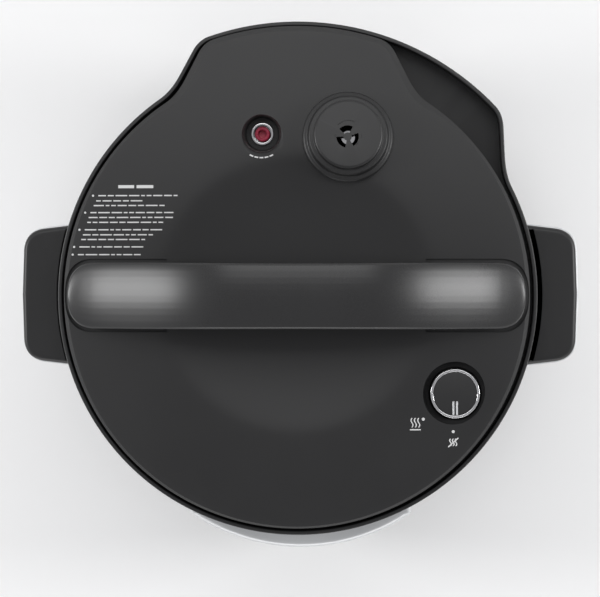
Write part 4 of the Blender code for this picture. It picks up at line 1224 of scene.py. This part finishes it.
@dataclass
class LidInside:
    """The lugged plate, the seal on its rack, and the steam pipe with its nut, shield and weight."""

    paint: Paint
    lugs: int = 8
    lug_degrees: float = 18.0

    def build(self) -> None:
        """Turns each piece and joins the lugs to the plate."""
        high = top("lid_plate")
        plate_profile = softened([(0, high), (123.7 * MM, high), (123.7 * MM, 218 * MM),
                                  (122.2 * MM, 218 * MM),
                                  (122.2 * MM, high - 1.5 * MM), (0, high - 1.5 * MM)], 1.0 * MM, 4,
                                  closed=False)
        plate = meshed(spun(plate_profile, UPRIGHT, 180), "pressed_plate")
        teeth = []
        for number in range(self.lugs):
            turn = 360 / self.lugs * number
            half = self.lug_degrees / 2
            tooth = softened_outline(sector(122.9 * MM, 130.2 * MM, turn - half, turn + half), 1.5 * MM)
            teeth.append(meshed(slab(tooth, 218.2 * MM, 221.2 * MM, 0.5 * MM, 0.5 * MM),
                                f"plate_lug_{number}"))
        pipe_at, float_at = on_plan("vent_pipe"), on_plan("bobber_pin")
        carved(plate, [cylinder("pipe_hole", 3.8 * MM, 230 * MM, 245 * MM, pipe_at),
                       cylinder("float_hole", 3.2 * MM, 230 * MM, 245 * MM, float_at),
                       cylinder("screw_hole", 2.3 * MM, 230 * MM, 245 * MM, Vector((0, 0)))], teeth)
        dressed(plate, self.paint.pot, "lid", Slot.STEEL, "lid_plate")

        seal = [(110.4, 234.0), (121.6, 234.0), (121.6, 227.0), (120.6, 225.3), (111.0, 225.3),
                (110.4, 226.2), (115.0, 228.5), (115.0, 231.8)]
        self.turned("seal_ring", [(r * MM, z * MM) for r, z in seal], 0.5, Vector((0, 0)),
                    self.paint.silicone, Slot.SILICONE, "lid", "sealing_ring", 200)
        inner, outer = reach("ring_rack") - 1.0 * MM, reach("ring_rack")
        rack_low, rack_high = bottom("ring_rack"), top("ring_rack")
        wire = [(inner, rack_low), (inner, rack_high), (outer, rack_high), (outer, rack_low)]
        self.turned("seal_rack", wire, 0.3, Vector((0, 0)), self.paint.pot, Slot.STEEL, "lid", "ring_rack",
                    200)
        pipe = [(1.6, 254.7), (2.6, 254.7), (3.4, 253.0), (3.4, 241.2), (6.2, 241.2), (6.2, 238.8),
                (3.4, 238.8), (3.4, 231.0), (1.6, 231.0)]
        self.turned("steam_pipe", [(r * MM, z * MM) for r, z in pipe], 0.3, pipe_at, self.paint.pot,
                    Slot.STEEL, "lid", "vent_pipe", 64)
        shield = [(6.6, 236.6), (7.4, 236.6), (7.4, 226.5), (0, 226.5), (0, 227.3), (6.6, 227.3)]
        self.turned("pipe_shield", [(r * MM, z * MM) for r, z in shield], 0.3, pipe_at, self.paint.pot,
                    Slot.STEEL, "vent_shield", "vent_shield", 64)
        weight = [(0, 264.0), (4.5, 264.0), (6.8, 262.0), (6.8, 253.2), (9.0, 252.7), (9.0, 250.5),
                  (4.0, 250.5), (4.0, 255.1), (0, 255.1)]
        self.turned("lifting_weight", [(r * MM, z * MM) for r, z in weight], 0.5, pipe_at, self.paint.chrome,
                    Slot.STEEL, "steam_weight", "steam_weight", 64)

    def turned(self, name: str, profile: Sequence[Point], soft: float, at: Vector,
               material: bpy.types.Material, slot: Slot, body: str, node: str, steps: int) -> None:
        """Turns one piece in place.

        Args:
            name: The piece's name.
            profile: Its half section.
            soft: Rounding of its corners, in millimetres.
            at: Its axis on plan.
            material: Its material.
            slot: The record's slot.
            body: The body that it moves with.
            node: The CAD node that it stands for.
            steps: Steps round the axis.
        """
        on_axis = profile[0][0] == 0
        shape = spun(softened(profile, soft * MM, 3, closed=not on_axis), UPRIGHT + at.to_3d(), steps)
        dressed(meshed(shape, name), material, body, slot, node)


# ------------------------------------------------------------------------------------------------------------
# The base
# ------------------------------------------------------------------------------------------------------------


@dataclass
class Collar:
    """The plastic collar round the lid, with the bay that the lobe swings in."""

    paint: Paint
    radius: float = 143.8 * MM
    bay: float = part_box("upper_collar")[1].y - AXIS.y
    rim: float = top("upper_collar")
    foot: float = bottom("upper_collar")
    wall: float = 2.5 * MM
    deck: float = 229.0 * MM
    bay_foot: float = 210.0 * MM
    deck_hole: float = 135.0 * MM
    lip: float = 0.8 * MM

    def build(self) -> None:
        """Joins the wall, the deck and the skirt, and cuts the slider's slot and the drain."""
        wall, lip = self.wall, self.lip
        outer = lobed(self.radius, self.bay, (-21.2, -31.9), (48.6, 60.2))
        rings = [lifted(outer, self.bay_foot), lifted(outer, self.rim - lip),
                 lifted(inset(outer, lip * 0.3), self.rim - lip * 0.3), lifted(inset(outer, lip), self.rim),
                 lifted(inset(outer, wall - lip * 0.6), self.rim),
                 lifted(inset(outer, wall), self.rim - lip * 0.6), lifted(inset(outer, wall), self.bay_foot)]
        body = meshed(tube(rings), "collar_body")
        near = inset(outer, wall * 0.5)
        hole = [p.normalized() * self.deck_hole for p in outer]
        deck = meshed(tube([lifted(near, self.deck - wall), lifted(near, self.deck), lifted(hole, self.deck),
                            lifted(hole, self.deck - wall)]), "collar_deck")
        skirt_profile = [(141.5, 228.5), (143.75, 228.5), (143.8, 196.0), (143.3, 191.6), (142.4, 190.0),
                         (141.5, 190.0)]
        skirt = meshed(spun([(r * MM, z * MM) for r, z in skirt_profile], UPRIGHT, 240), "collar_skirt")
        carved(body, [meshed(slab(sector(148.5 * MM, 151.5 * MM, -18.4, 14.0), self.bay_foot, 240 * MM),
                             "slot_way"),
                      cylinder("drain", 3.0 * MM, 215 * MM, 240 * MM, Vector((7.0 * MM, 156.0 * MM)))],
               [deck, skirt])
        dressed(body, self.paint.collar, "base", Slot.CHARCOAL, "upper_collar")


@dataclass
class SideGrips:
    """The two side handles and the silver trims under them."""

    paint: Paint
    root_half: float = 42.6 * MM
    tip: float = 169.0 * MM
    root_r: float = 144.1 * MM

    def outline(self, side: int, out: float, root_in: float = 0.0) -> list[Vector]:
        """A handle's plan, grown by a little, clockwise."""
        half, far, root = self.root_half + out, self.tip + out, self.root_r + root_in
        knee, corner = Vector((156.0 * MM, half - 2.2 * MM)), Vector((far - 1.2 * MM, half - 4.0 * MM))
        upper = eased(knee, corner, Vector((far - 0.8 * MM, half * 0.62)), 16)
        upper += [Vector((far - 0.4 * MM, half * 0.3)), Vector((far, 0.0))]
        made = upper + [Vector((p.x, -p.y)) for p in reversed(upper[:-1])]
        edge = math.asin(half / root)
        made += [Vector((root * math.cos(edge * s), root * math.sin(edge * s)))
                 for s in (i / 12 - 1 for i in range(25))]
        return made if side > 0 else [Vector((-p.x, p.y)) for p in reversed(made)]

    def build(self) -> None:
        """Makes both grips and both trims."""
        for side, word in ((-1, "left"), (1, "right")):
            grip_node, trim_node = f"side_handle_{word}", f"handle_trim_{word}"
            low, high = bottom(grip_node), top(grip_node)
            grip = meshed(slab(self.outline(side, 0.0), low, high, 2.6 * MM, steps=8), f"grip_{word}")
            pocket = self.outline(side, -4.0 * MM, 5.0 * MM)
            carved(grip, [meshed(slab(pocket, low - CLEAR, high - 4.0 * MM, 1.5 * MM), "pocket")])
            dressed(grip, self.paint.collar, "base", Slot.CHARCOAL, grip_node)
            outer, inner = self.outline(side, 1.0 * MM), self.outline(side, -3.0 * MM, 4.0 * MM)
            low, high = bottom(trim_node), top(trim_node)
            lip = 0.7 * MM
            rings = [lifted(inset(outer, lip), low), lifted(outer, low + lip), lifted(outer, high - lip),
                     lifted(inset(outer, lip * 0.3), high - lip * 0.3), lifted(inset(outer, lip), high),
                     lifted(inner, high), lifted(inner, low)]
            dressed(meshed(tube(rings), f"grip_trim_{word}"), self.paint.silver, "base", Slot.SILVER,
                    trim_node)


@dataclass
class Housing:
    """The steel shell, the pan under it and its feet."""

    paint: Paint
    pan_profile: tuple[Point, ...] = (
        (0, 8.5), (127.0, 8.5), (134.5, 14.0), (138.7, 40.0), (138.7, 48.0), (140.0, 48.0), (140.0, 43.7),
        (142.0, 43.7), (141.2, 28.0), (136.8, 12.0), (129.0, 6.0), (0, 6.0))
    shell_outer: float = 141.2 * MM
    shell_inner: float = 140.3 * MM

    def build(self) -> None:
        """Turns the shell and the pan, and cuts their openings."""
        low, high = bottom("housing_shell"), top("housing_shell")
        band = [(self.shell_inner, low), (self.shell_inner, high), (self.shell_outer, high),
                (self.shell_outer, low)]
        shell = meshed(spun(band, UPRIGHT, 240), "steel_shell")
        window = rounded_box(44 * MM, 15 * MM, 3 * MM, Vector((0, -140 * MM)))
        carved(shell, [meshed(slab(window, 76 * MM, 172 * MM), "window")])
        dressed(shell, self.paint.steel, "base", Slot.STEEL, "housing_shell")

        profile = [(r * MM, z * MM) for r, z in self.pan_profile]
        pan = meshed(spun(softened(profile, 1.6 * MM, 4, closed=False), UPRIGHT, 240), "moulded_pan")
        cutters = [meshed(slab(softened_outline(sector(50 * MM, 76 * MM, a - 4, a + 4), 2 * MM), 0, 12 * MM),
                          f"slit_{a}")
                   for a in range(0, 360, 30)]
        opening = rounded_box(15.3 * MM, 15 * MM, 1 * MM, Vector((0, 138 * MM)))
        cutters.append(meshed(slab(opening, 15.2 * MM, 38.8 * MM), "inlet_way"))
        for number in range(1, 4):
            cutters.append(cylinder(f"screw_way_{number}", 2.3 * MM, 0, 20 * MM,
                                    on_plan(f"base_screw_{number}"), 32))
        carved(pan, cutters)
        dressed(pan, self.paint.black, "base", Slot.BLACK, "base_pan")

        for number in range(1, 5):
            node = f"foot_{number}"
            high = top(node)
            foot = [(0, high), (11.0 * MM, high), (10.2 * MM, 0.8 * MM), (9.4 * MM, 0), (6.0 * MM, 0),
                    (5.4 * MM, 0.5 * MM), (0, 0.5 * MM)]
            shape = spun(softened(foot, 0.4 * MM, 3, closed=False), UPRIGHT + on_plan(node).to_3d(), 64)
            dressed(meshed(shape, f"rubber_{node}"), self.paint.rubber, "base", Slot.RUBBER, node)
        for number in range(1, 4):
            node = f"base_screw_{number}"
            head = [(0, 28.0), (1.9, 28.0), (1.9, 5.7), (3.8, 5.7), (3.6, 4.2), (3.0, 3.4), (0, 3.4)]
            profile = softened([(r * MM, z * MM) for r, z in head], 0.3 * MM, 3, closed=False)
            screw = meshed(spun(profile, UPRIGHT + on_plan(node).to_3d(), 40), f"pan_screw_{number}")
            at = on_plan(node)
            carved(screw,
                   [meshed(slab(rounded_box(half_x * MM, half_y * MM, 0.15 * MM, at), 2 * MM, 4.6 * MM),
                                  f"cross_{half_x}") for half_x, half_y in ((0.4, 2.0), (2.0, 0.4))])
            dressed(screw, self.paint.pot, "base", Slot.STEEL, node)


@dataclass
class PowerInlet:
    """The mains inlet in the back of the pan."""

    paint: Paint
    half_wide: float = 19.0 * MM
    half_tall: float = 15.0 * MM

    def build(self) -> None:
        """Joins the flange to the shroud and sinks the socket."""
        low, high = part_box("power_inlet")
        z = (low.z + high.z) / 2
        face = Matrix.Translation((AXIS.x, high.y, z)) @ Matrix.Rotation(math.pi / 2, 4, "X")
        origin = Vector((0, 0))
        flange = meshed(slab(rounded_box(self.half_wide, self.half_tall, 3 * MM), 0, 1.6 * MM, 0, 0.5 * MM,
                             origin),
                        "inlet_flange", face)
        shroud = meshed(slab(rounded_box(15.0 * MM, 11.5 * MM, 1.5 * MM), 1.0 * MM, high.y - low.y, 0.5 * MM,
                             about=origin), "shroud", face)
        corners = [(-12.0, -8.0), (-12.0, 4.0), (-7.0, 8.0), (7.0, 8.0), (12.0, 4.0), (12.0, -8.0)]
        outline = softened_outline([Vector((x * MM, y * MM)) for x, y in corners], 1.2 * MM)
        socket = meshed(slab(outline, -CLEAR, 20.0 * MM, about=origin), "socket", face)
        pins = [cylinder_y(f"pin_way_{i}", 1.9 * MM, Vector((x * MM, 0, z + y * MM)), low.y - CLEAR,
                           high.y - 10 * MM)
                for i, (x, y) in enumerate(((-7, -2), (0, 2), (7, -2)))]
        carved(flange, [socket, *pins], [shroud])
        dressed(flange, self.paint.black, "base", Slot.BLACK, "power_inlet")


def cylinder_y(name: str, radius: float, at: Vector, near: float, far: float) -> bpy.types.Object:
    """A round cutter that lies along Y, from near to far."""
    turned = Matrix.Translation((AXIS.x + at.x, far, at.z)) @ Matrix.Rotation(math.pi / 2, 4, "X")
    profile = [(0, far - near), (radius, far - near), (radius, 0), (0, 0)]
    return meshed(spun(profile, Vector((0, 0, 0)), 24), name, turned)


@dataclass
class ControlPanel:
    """The bowed pod: silver bezel, gloss fascia, lens and six buttons."""

    paint: Paint
    front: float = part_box("panel_bezel")[0].y - AXIS.y
    low: float = bottom("panel_bezel")
    high: float = top("panel_bezel")
    arc_r: float = 120.0 * MM
    half: float = 68.0 * MM
    fascia_half: float = 57.0 * MM
    button_r: float = 6.5 * MM
    stem_r: float = 2.2 * MM
    button_x: tuple[float, ...] = (-30.0 * MM, 0.0, 30.0 * MM)

    def bow(self, radius: float, half: float, steps: int = 40) -> list[Vector]:
        """Plan points of the panel's curve, from +X to -X."""
        edge = math.asin(half / radius)
        centre = self.front + self.arc_r
        angles = [edge * (1 - 2 * i / steps) for i in range(steps + 1)]
        return [Vector((radius * math.sin(a), centre - radius * math.cos(a))) for a in angles]

    def back(self, radius: float, half: float) -> list[Vector]:
        """Plan points along the housing behind the panel, from -X to +X."""
        edge = math.degrees(math.asin(half / radius))
        return arc(radius, 180 + edge, 180 - edge)

    def layer(self, outer: float, inner: float, half: float) -> list[Vector]:
        """A bowed strip between two radii."""
        return self.bow(outer, half) + list(reversed(self.bow(inner, half)))

    def button_seat(self, number: int) -> Matrix:
        """Where a button's own axis meets the fascia, with local Z pointing out of it."""
        x = self.button_x[(number - 1) % len(self.button_x)]
        turn = math.asin(x / self.arc_r)
        y = self.front + self.arc_r * (1 - math.cos(turn))
        place = Matrix.Translation((AXIS.x + x, AXIS.y + y, middle(f"button_{number}").z))
        return place @ Matrix.Rotation(turn, 4, "Z") @ Matrix.Rotation(math.pi / 2, 4, "X")

    def build(self) -> None:
        """Makes the pod and everything on its face."""
        body = self.bow(self.arc_r, self.half) + self.back(141.5 * MM, self.half)
        bezel = meshed(slab(body, self.low, self.high, 3.0 * MM, 3.0 * MM, steps=6), "pod_bezel")
        hollow = self.bow(self.arc_r - 4.5 * MM, 56 * MM) + self.back(136.2 * MM, 56 * MM)
        seat = self.layer(self.arc_r + 6 * MM, self.arc_r - 1.8 * MM, 57.3 * MM)
        way = self.layer(self.arc_r, self.arc_r - 8 * MM, 51 * MM)
        carved(bezel, [meshed(slab(hollow, self.low + 2.5 * MM, self.high - 2.5 * MM), "pod_hollow"),
                       meshed(slab(seat, 76.7 * MM, 171.3 * MM), "fascia_seat"),
                       meshed(slab(way, 82 * MM, 166 * MM), "fascia_way")])
        dressed(bezel, self.paint.silver, "base", Slot.SILVER, "panel_bezel")

        low, high = bottom("panel_fascia"), top("panel_fascia")
        face = self.layer(self.arc_r - GAP, self.arc_r - 1.5 * MM, self.fascia_half)
        fascia = meshed(slab(face, low, high, 0.25 * MM, 0.25 * MM), "gloss_fascia")
        lens_low, lens_high = bottom("display_lens"), top("display_lens")
        opening = self.layer(self.arc_r + 4 * MM, self.arc_r - 5 * MM, 25.3 * MM)
        holes = [meshed(spun([(0, 5 * MM), (self.button_r + GAP, 5 * MM), (self.button_r + GAP, -5 * MM),
                              (0, -5 * MM)], Vector((0, 0, 0)), 64), f"button_way_{i}", self.button_seat(i))
                 for i in range(1, 7)]
        carved(fascia, [meshed(slab(opening, lens_low - GAP, lens_high + GAP), "lens_way"), *holes])
        dressed(fascia, self.paint.gloss, "base", Slot.BLACK, "panel_fascia")
        glass = self.layer(self.arc_r - GAP, self.arc_r - 1.5 * MM, 25 * MM)
        dressed(meshed(slab(glass, lens_low, lens_high, 0.25 * MM, 0.25 * MM), "lens"), self.paint.gloss,
                "base", Slot.GLASS, "display_lens")
        self.marks()
        for number in range(1, 7):
            self.button(number)

    def marks(self) -> None:
        """Four plain bars on the display."""
        z = middle("display_lens").z
        whole = bmesh.new()
        for x in (-15, -5, 5, 15):
            strip = self.on_face((x - 3) * MM, (x + 3) * MM, z - 0.6 * MM, z + 0.6 * MM)
            part = bpy.data.meshes.new("bar")
            strip.to_mesh(part)
            strip.free()
            whole.from_mesh(part)
            bpy.data.meshes.remove(part)
        dressed(meshed(whole, "display_bars"), self.paint.ink, "base", Slot.GLASS)

    def on_face(self, left: float, right: float, low: float, high: float) -> bmesh.types.BMesh:
        """A thin patch that follows the fascia's curve."""
        centre = self.front + self.arc_r
        radius = self.arc_r - GAP + 0.05 * MM
        rows = []
        for z in (low, high):
            angles = [math.asin((left + (right - left) * i / 4) / radius) for i in range(5)]
            rows.append([Vector((AXIS.x + radius * math.sin(a), AXIS.y + centre - radius * math.cos(a), z))
                         for a in angles])
        return ribbon(rows, 0.1 * MM)

    def button(self, number: int) -> None:
        """One button with its plunger, and the mark on its cap."""
        seat = self.button_seat(number)
        node = f"button_{number}"
        proud, r = 1.4 * MM, self.button_r
        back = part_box(node)[1].y
        turn = math.asin(self.button_x[(number - 1) % len(self.button_x)] / self.arc_r)
        stem = (back - seat.translation.y - self.stem_r * abs(math.sin(turn))) / math.cos(turn)
        cap = [(0, proud), (r - 0.8 * MM, proud), (r, proud - 0.8 * MM), (r, -2.0 * MM),
               (r + 1.2 * MM, -2.0 * MM),
               (r + 1.2 * MM, -3.0 * MM), (self.stem_r, -3.0 * MM), (self.stem_r, -stem), (0, -stem)]
        shape = spun(softened(cap, 0.35 * MM, 3, closed=False), Vector((0, 0, 0)), 64)
        dressed(meshed(shape, f"push_{node}", seat), self.paint.silver, node, Slot.SILVER, node)
        mark = {1: rounded_box(2.0 * MM, 0.4 * MM, 0.2 * MM), 4: rounded_box(2.0 * MM, 0.4 * MM, 0.2 * MM),
                2: circle(1.6 * MM, 32), 5: rounded_box(1.5 * MM, 1.5 * MM, 0.3 * MM),
                3: [Vector((-1.6 * MM, 1.8 * MM)), Vector((2.0 * MM, 0)), Vector((-1.6 * MM, -1.8 * MM))],
                6: circle(1.0 * MM, 24)}[number]
        shape = slab(mark, proud - 0.15 * MM, proud + 0.06 * MM, about=Vector((0, 0)))
        dressed(meshed(shape, f"{node}_mark", seat), self.paint.black, node, Slot.BLACK)


@dataclass
class DripCup:
    """The cup behind the bay, on its rails."""

    paint: Paint

    def build(self) -> None:
        """Hollows the cup and joins its ledge."""
        low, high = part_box("drip_cup")
        at = on_plan("drip_cup")
        deep = (high.y - low.y) / 2
        cup = meshed(slab(rounded_box(27 * MM, deep, 3.5 * MM, at), low.z, high.z, 0.5 * MM, 2.5 * MM,
                          steps=5),
                     "condensate_cup")
        ledge = meshed(slab(rounded_box(32 * MM, deep, 2.5 * MM, at), 154.5 * MM, 156.5 * MM, 0.4 * MM,
                            0.4 * MM),
                       "cup_ledge")
        room = slab(rounded_box(25.2 * MM, deep - 1.8 * MM, 2.2 * MM, at), low.z + 2.0 * MM, high.z + CLEAR,
                    0, 2.0 * MM)
        carved(cup, [meshed(room, "cup_room")], [ledge])
        dressed(cup, self.paint.cup, "drip_cup", Slot.SILICONE, "drip_cup")


@dataclass
class Pots:
    """The inner pot, and the lining pot with the locking lugs."""

    paint: Paint
    lugs: int = 8
    lug_degrees: float = 18.0

    def build(self) -> None:
        """Turns both pots, and joins the lugs to the lining."""
        pot = [(0, 69.2), (106.0, 69.2), (110.0, 71.2), (111.0, 75.0), (111.0, 218.0), (112.0, 224.0),
               (113.0, 225.0),
               (117.8, 225.0), (118.5, 224.2), (118.5, 222.8), (113.6, 222.8), (112.2, 218.0), (112.2, 74.0),
               (110.8, 69.0), (107.0, 66.7), (0, 66.7)]
        profile = softened([(r * MM, z * MM) for r, z in pot], 0.8 * MM, 4, closed=False)
        dressed(meshed(spun(profile, UPRIGHT, 240), "cooking_pot"), self.paint.pot, "inner_pot", Slot.STEEL,
                "inner_pot")
        lining = [(22.0, 51.5), (116.0, 51.5), (116.0, 212.0), (131.5, 214.0), (131.5, 230.8), (137.0, 230.8),
                  (137.0, 229.3), (133.0, 229.3), (133.0, 212.6), (117.5, 210.6), (117.5, 50.0), (22.0, 50.0)]
        liner = meshed(spun(softened([(r * MM, z * MM) for r, z in lining], 0.4 * MM, 3), UPRIGHT, 240),
                       "lining")
        teeth = []
        for number in range(self.lugs):
            turn = 360 / self.lugs * number
            half = self.lug_degrees / 2
            tooth = softened_outline(sector(126.0 * MM, 132.2 * MM, turn - half, turn + half), 1.2 * MM)
            teeth.append(meshed(slab(tooth, 221.6 * MM, 224.6 * MM, 0.4 * MM, 0.4 * MM),
                                f"liner_lug_{number}"))
        carved(liner, [], teeth)
        dressed(liner, self.paint.aluminium, "base", Slot.ALUMINIUM, "outer_pot")


@dataclass
class Heater:
    """The heating plate and the sprung sensor in its middle."""

    paint: Paint

    def build(self) -> None:
        """Turns the plate, with its fine grooves, and the sensor's cap."""
        high, low = top("heating_plate"), bottom("heating_plate")
        inner, outer = 18.0 * MM, reach("heating_plate")
        profile = [(inner, low), (inner, high)]
        for radius in range(26, 86, 6):
            r = radius * MM
            profile += [(r, high), (r + 0.3 * MM, high - 0.25 * MM), (r + 0.9 * MM, high - 0.25 * MM),
                        (r + 1.2 * MM, high)]
        profile += [(outer - 2.0 * MM, high), (outer, high - 1.5 * MM), (outer, low)]
        dressed(meshed(spun(profile, UPRIGHT, 180), "hot_plate"), self.paint.aluminium, "base",
                Slot.ALUMINIUM, "heating_plate")
        cap = [(0, 66.0), (15.0, 66.0), (16.0, 65.0), (16.0, 58.0), (14.0, 58.0), (14.0, 63.5), (4.0, 63.5),
               (4.0, 40.0), (0, 40.0)]
        shape = spun(softened([(r * MM, z * MM) for r, z in cap], 0.4 * MM, 3, closed=False), UPRIGHT, 96)
        dressed(meshed(shape, "sensor_button"), self.paint.aluminium, "sensor", Slot.ALUMINIUM, "sensor_cap")


# ------------------------------------------------------------------------------------------------------------
# The studio
# ------------------------------------------------------------------------------------------------------------


@dataclass
class Studio:
    """The floor, the lights and the camera."""

    floor_half: float = 4.0
    focal: float = 222.0
    sensor: float = 36.0
    stand_off: float = 2.2
    lean_x: float = 0.066
    lean_y: float = 0.020

    def build(self) -> None:
        """Makes them all."""
        self.floor()
        self.world()
        self.softbox("overhead", Vector((0.0, 0.85, 1.9)), (1.8, 0.9), 9.0)
        self.softbox("left_box", Vector((-1.25, 0.10, 0.97)), (0.40, 0.5), 7.5)
        self.softbox("right_box", Vector((1.25, 0.10, 0.97)), (0.40, 0.5), 7.5)
        self.softbox("front_box", Vector((0.0, -1.90, 0.90)), (2.4, 0.6), 13.0)
        self.camera()

    def floor(self) -> None:
        """A plain pale floor."""
        bm = bmesh.new()
        bmesh.ops.create_grid(bm, x_segments=8, y_segments=8, size=self.floor_half)
        mesh = bpy.data.meshes.new("floor")
        bm.to_mesh(mesh)
        bm.free()
        floor = bpy.data.objects.new("floor", mesh)
        bpy.context.scene.collection.objects.link(floor)
        material = bpy.data.materials.new("studio_white")
        material.use_nodes = True
        n = Nodes(material.node_tree)
        shader = material.node_tree.nodes["Principled BSDF"]
        place = n.add("ShaderNodeTexCoord").outputs["Object"]
        noise = n.add("ShaderNodeTexNoise", {"Vector": place, "Scale": 3.0}).outputs[0]
        n.feed(n.blend(noise, (0.90, 0.90, 0.90, 1), (0.93, 0.93, 0.93, 1)), shader.inputs["Base Color"])
        shader.inputs["Roughness"].default_value = 0.8
        mesh.materials.append(material)

    def world(self) -> None:
        """A pale surround, brighter near the horizon than overhead."""
        scene = bpy.context.scene
        scene.world = bpy.data.worlds.new("studio")
        scene.world.use_nodes = True
        n = Nodes(scene.world.node_tree)
        sky = scene.world.node_tree.nodes["Background"]
        height = n.add("ShaderNodeSeparateXYZ",
                       {0: n.add("ShaderNodeTexCoord").outputs["Generated"]}).outputs[2]
        share = n.add("ShaderNodeMapRange", {0: height, 1: 0.0, 2: 0.75, 3: 1.0, 4: 0.0}).outputs[0]
        n.feed(n.blend(share, (0.30, 0.30, 0.31, 1), (1.0, 1.0, 1.0, 1)), sky.inputs["Color"])
        sky.inputs["Strength"].default_value = 1.1
        scene.view_settings.view_transform = "Standard"

    def softbox(self, name: str, at: Vector, size: tuple[float, float], power: float) -> None:
        """A rectangular light that faces the cooker."""
        light = bpy.data.lights.new(name, "AREA")
        light.shape = "RECTANGLE"
        light.size, light.size_y = size
        light.energy = power
        lamp = bpy.data.objects.new(name, light)
        lamp.location = at
        lamp.rotation_euler = (Vector((0, 0, 0.2)) - at).to_track_quat("-Z", "Y").to_euler()
        bpy.context.scene.collection.objects.link(lamp)

    def camera(self) -> None:
        """A long lens almost straight above the lid."""
        lens = bpy.data.cameras.new("camera")
        lens.lens, lens.sensor_width = self.focal, self.sensor
        lens.clip_start, lens.clip_end = 0.05, 20.0
        eye = bpy.data.objects.new("camera", lens)
        aim = Vector((AXIS.x + 2.1 * MM, AXIS.y - 1.8 * MM, 264 * MM))
        eye.location = aim + Vector((self.lean_x, self.lean_y, self.stand_off))
        back = (eye.location - aim).normalized()
        side = Vector((0, 1, 0)).cross(back).normalized()
        eye.rotation_euler = Matrix((side, back.cross(side), back)).transposed().to_euler()
        bpy.context.scene.collection.objects.link(eye)
        bpy.context.scene.camera = eye


def carry_over(paint: Paint) -> None:
    """Gives every CAD node that no new piece replaces its procedural material."""
    slots = {row["node"]: row["material_slot"] for row in frame["record"]["subparts"]}
    for node, obj in frame["nodes"].items():
        material = paint.of_slot(slots[node])
        for holder in obj.material_slots:
            holder.material = material


def main() -> None:
    """Builds every assembly, carries the other nodes over and sets up the studio."""
    paint = Paint()
    carry_over(paint)
    for assembly in (LidCover(paint), LidHandle(paint), LidPrint(paint), SteamCap(paint), FloatValve(paint),
                     Dial(paint), LidInside(paint), Collar(paint), SideGrips(paint), Housing(paint),
                     PowerInlet(paint), ControlPanel(paint), DripCup(paint), Pots(paint), Heater(paint)):
        LOG.info("building %s", type(assembly).__name__)
        assembly.build()
    Studio().build()


if __name__ == "__main__":
    main()
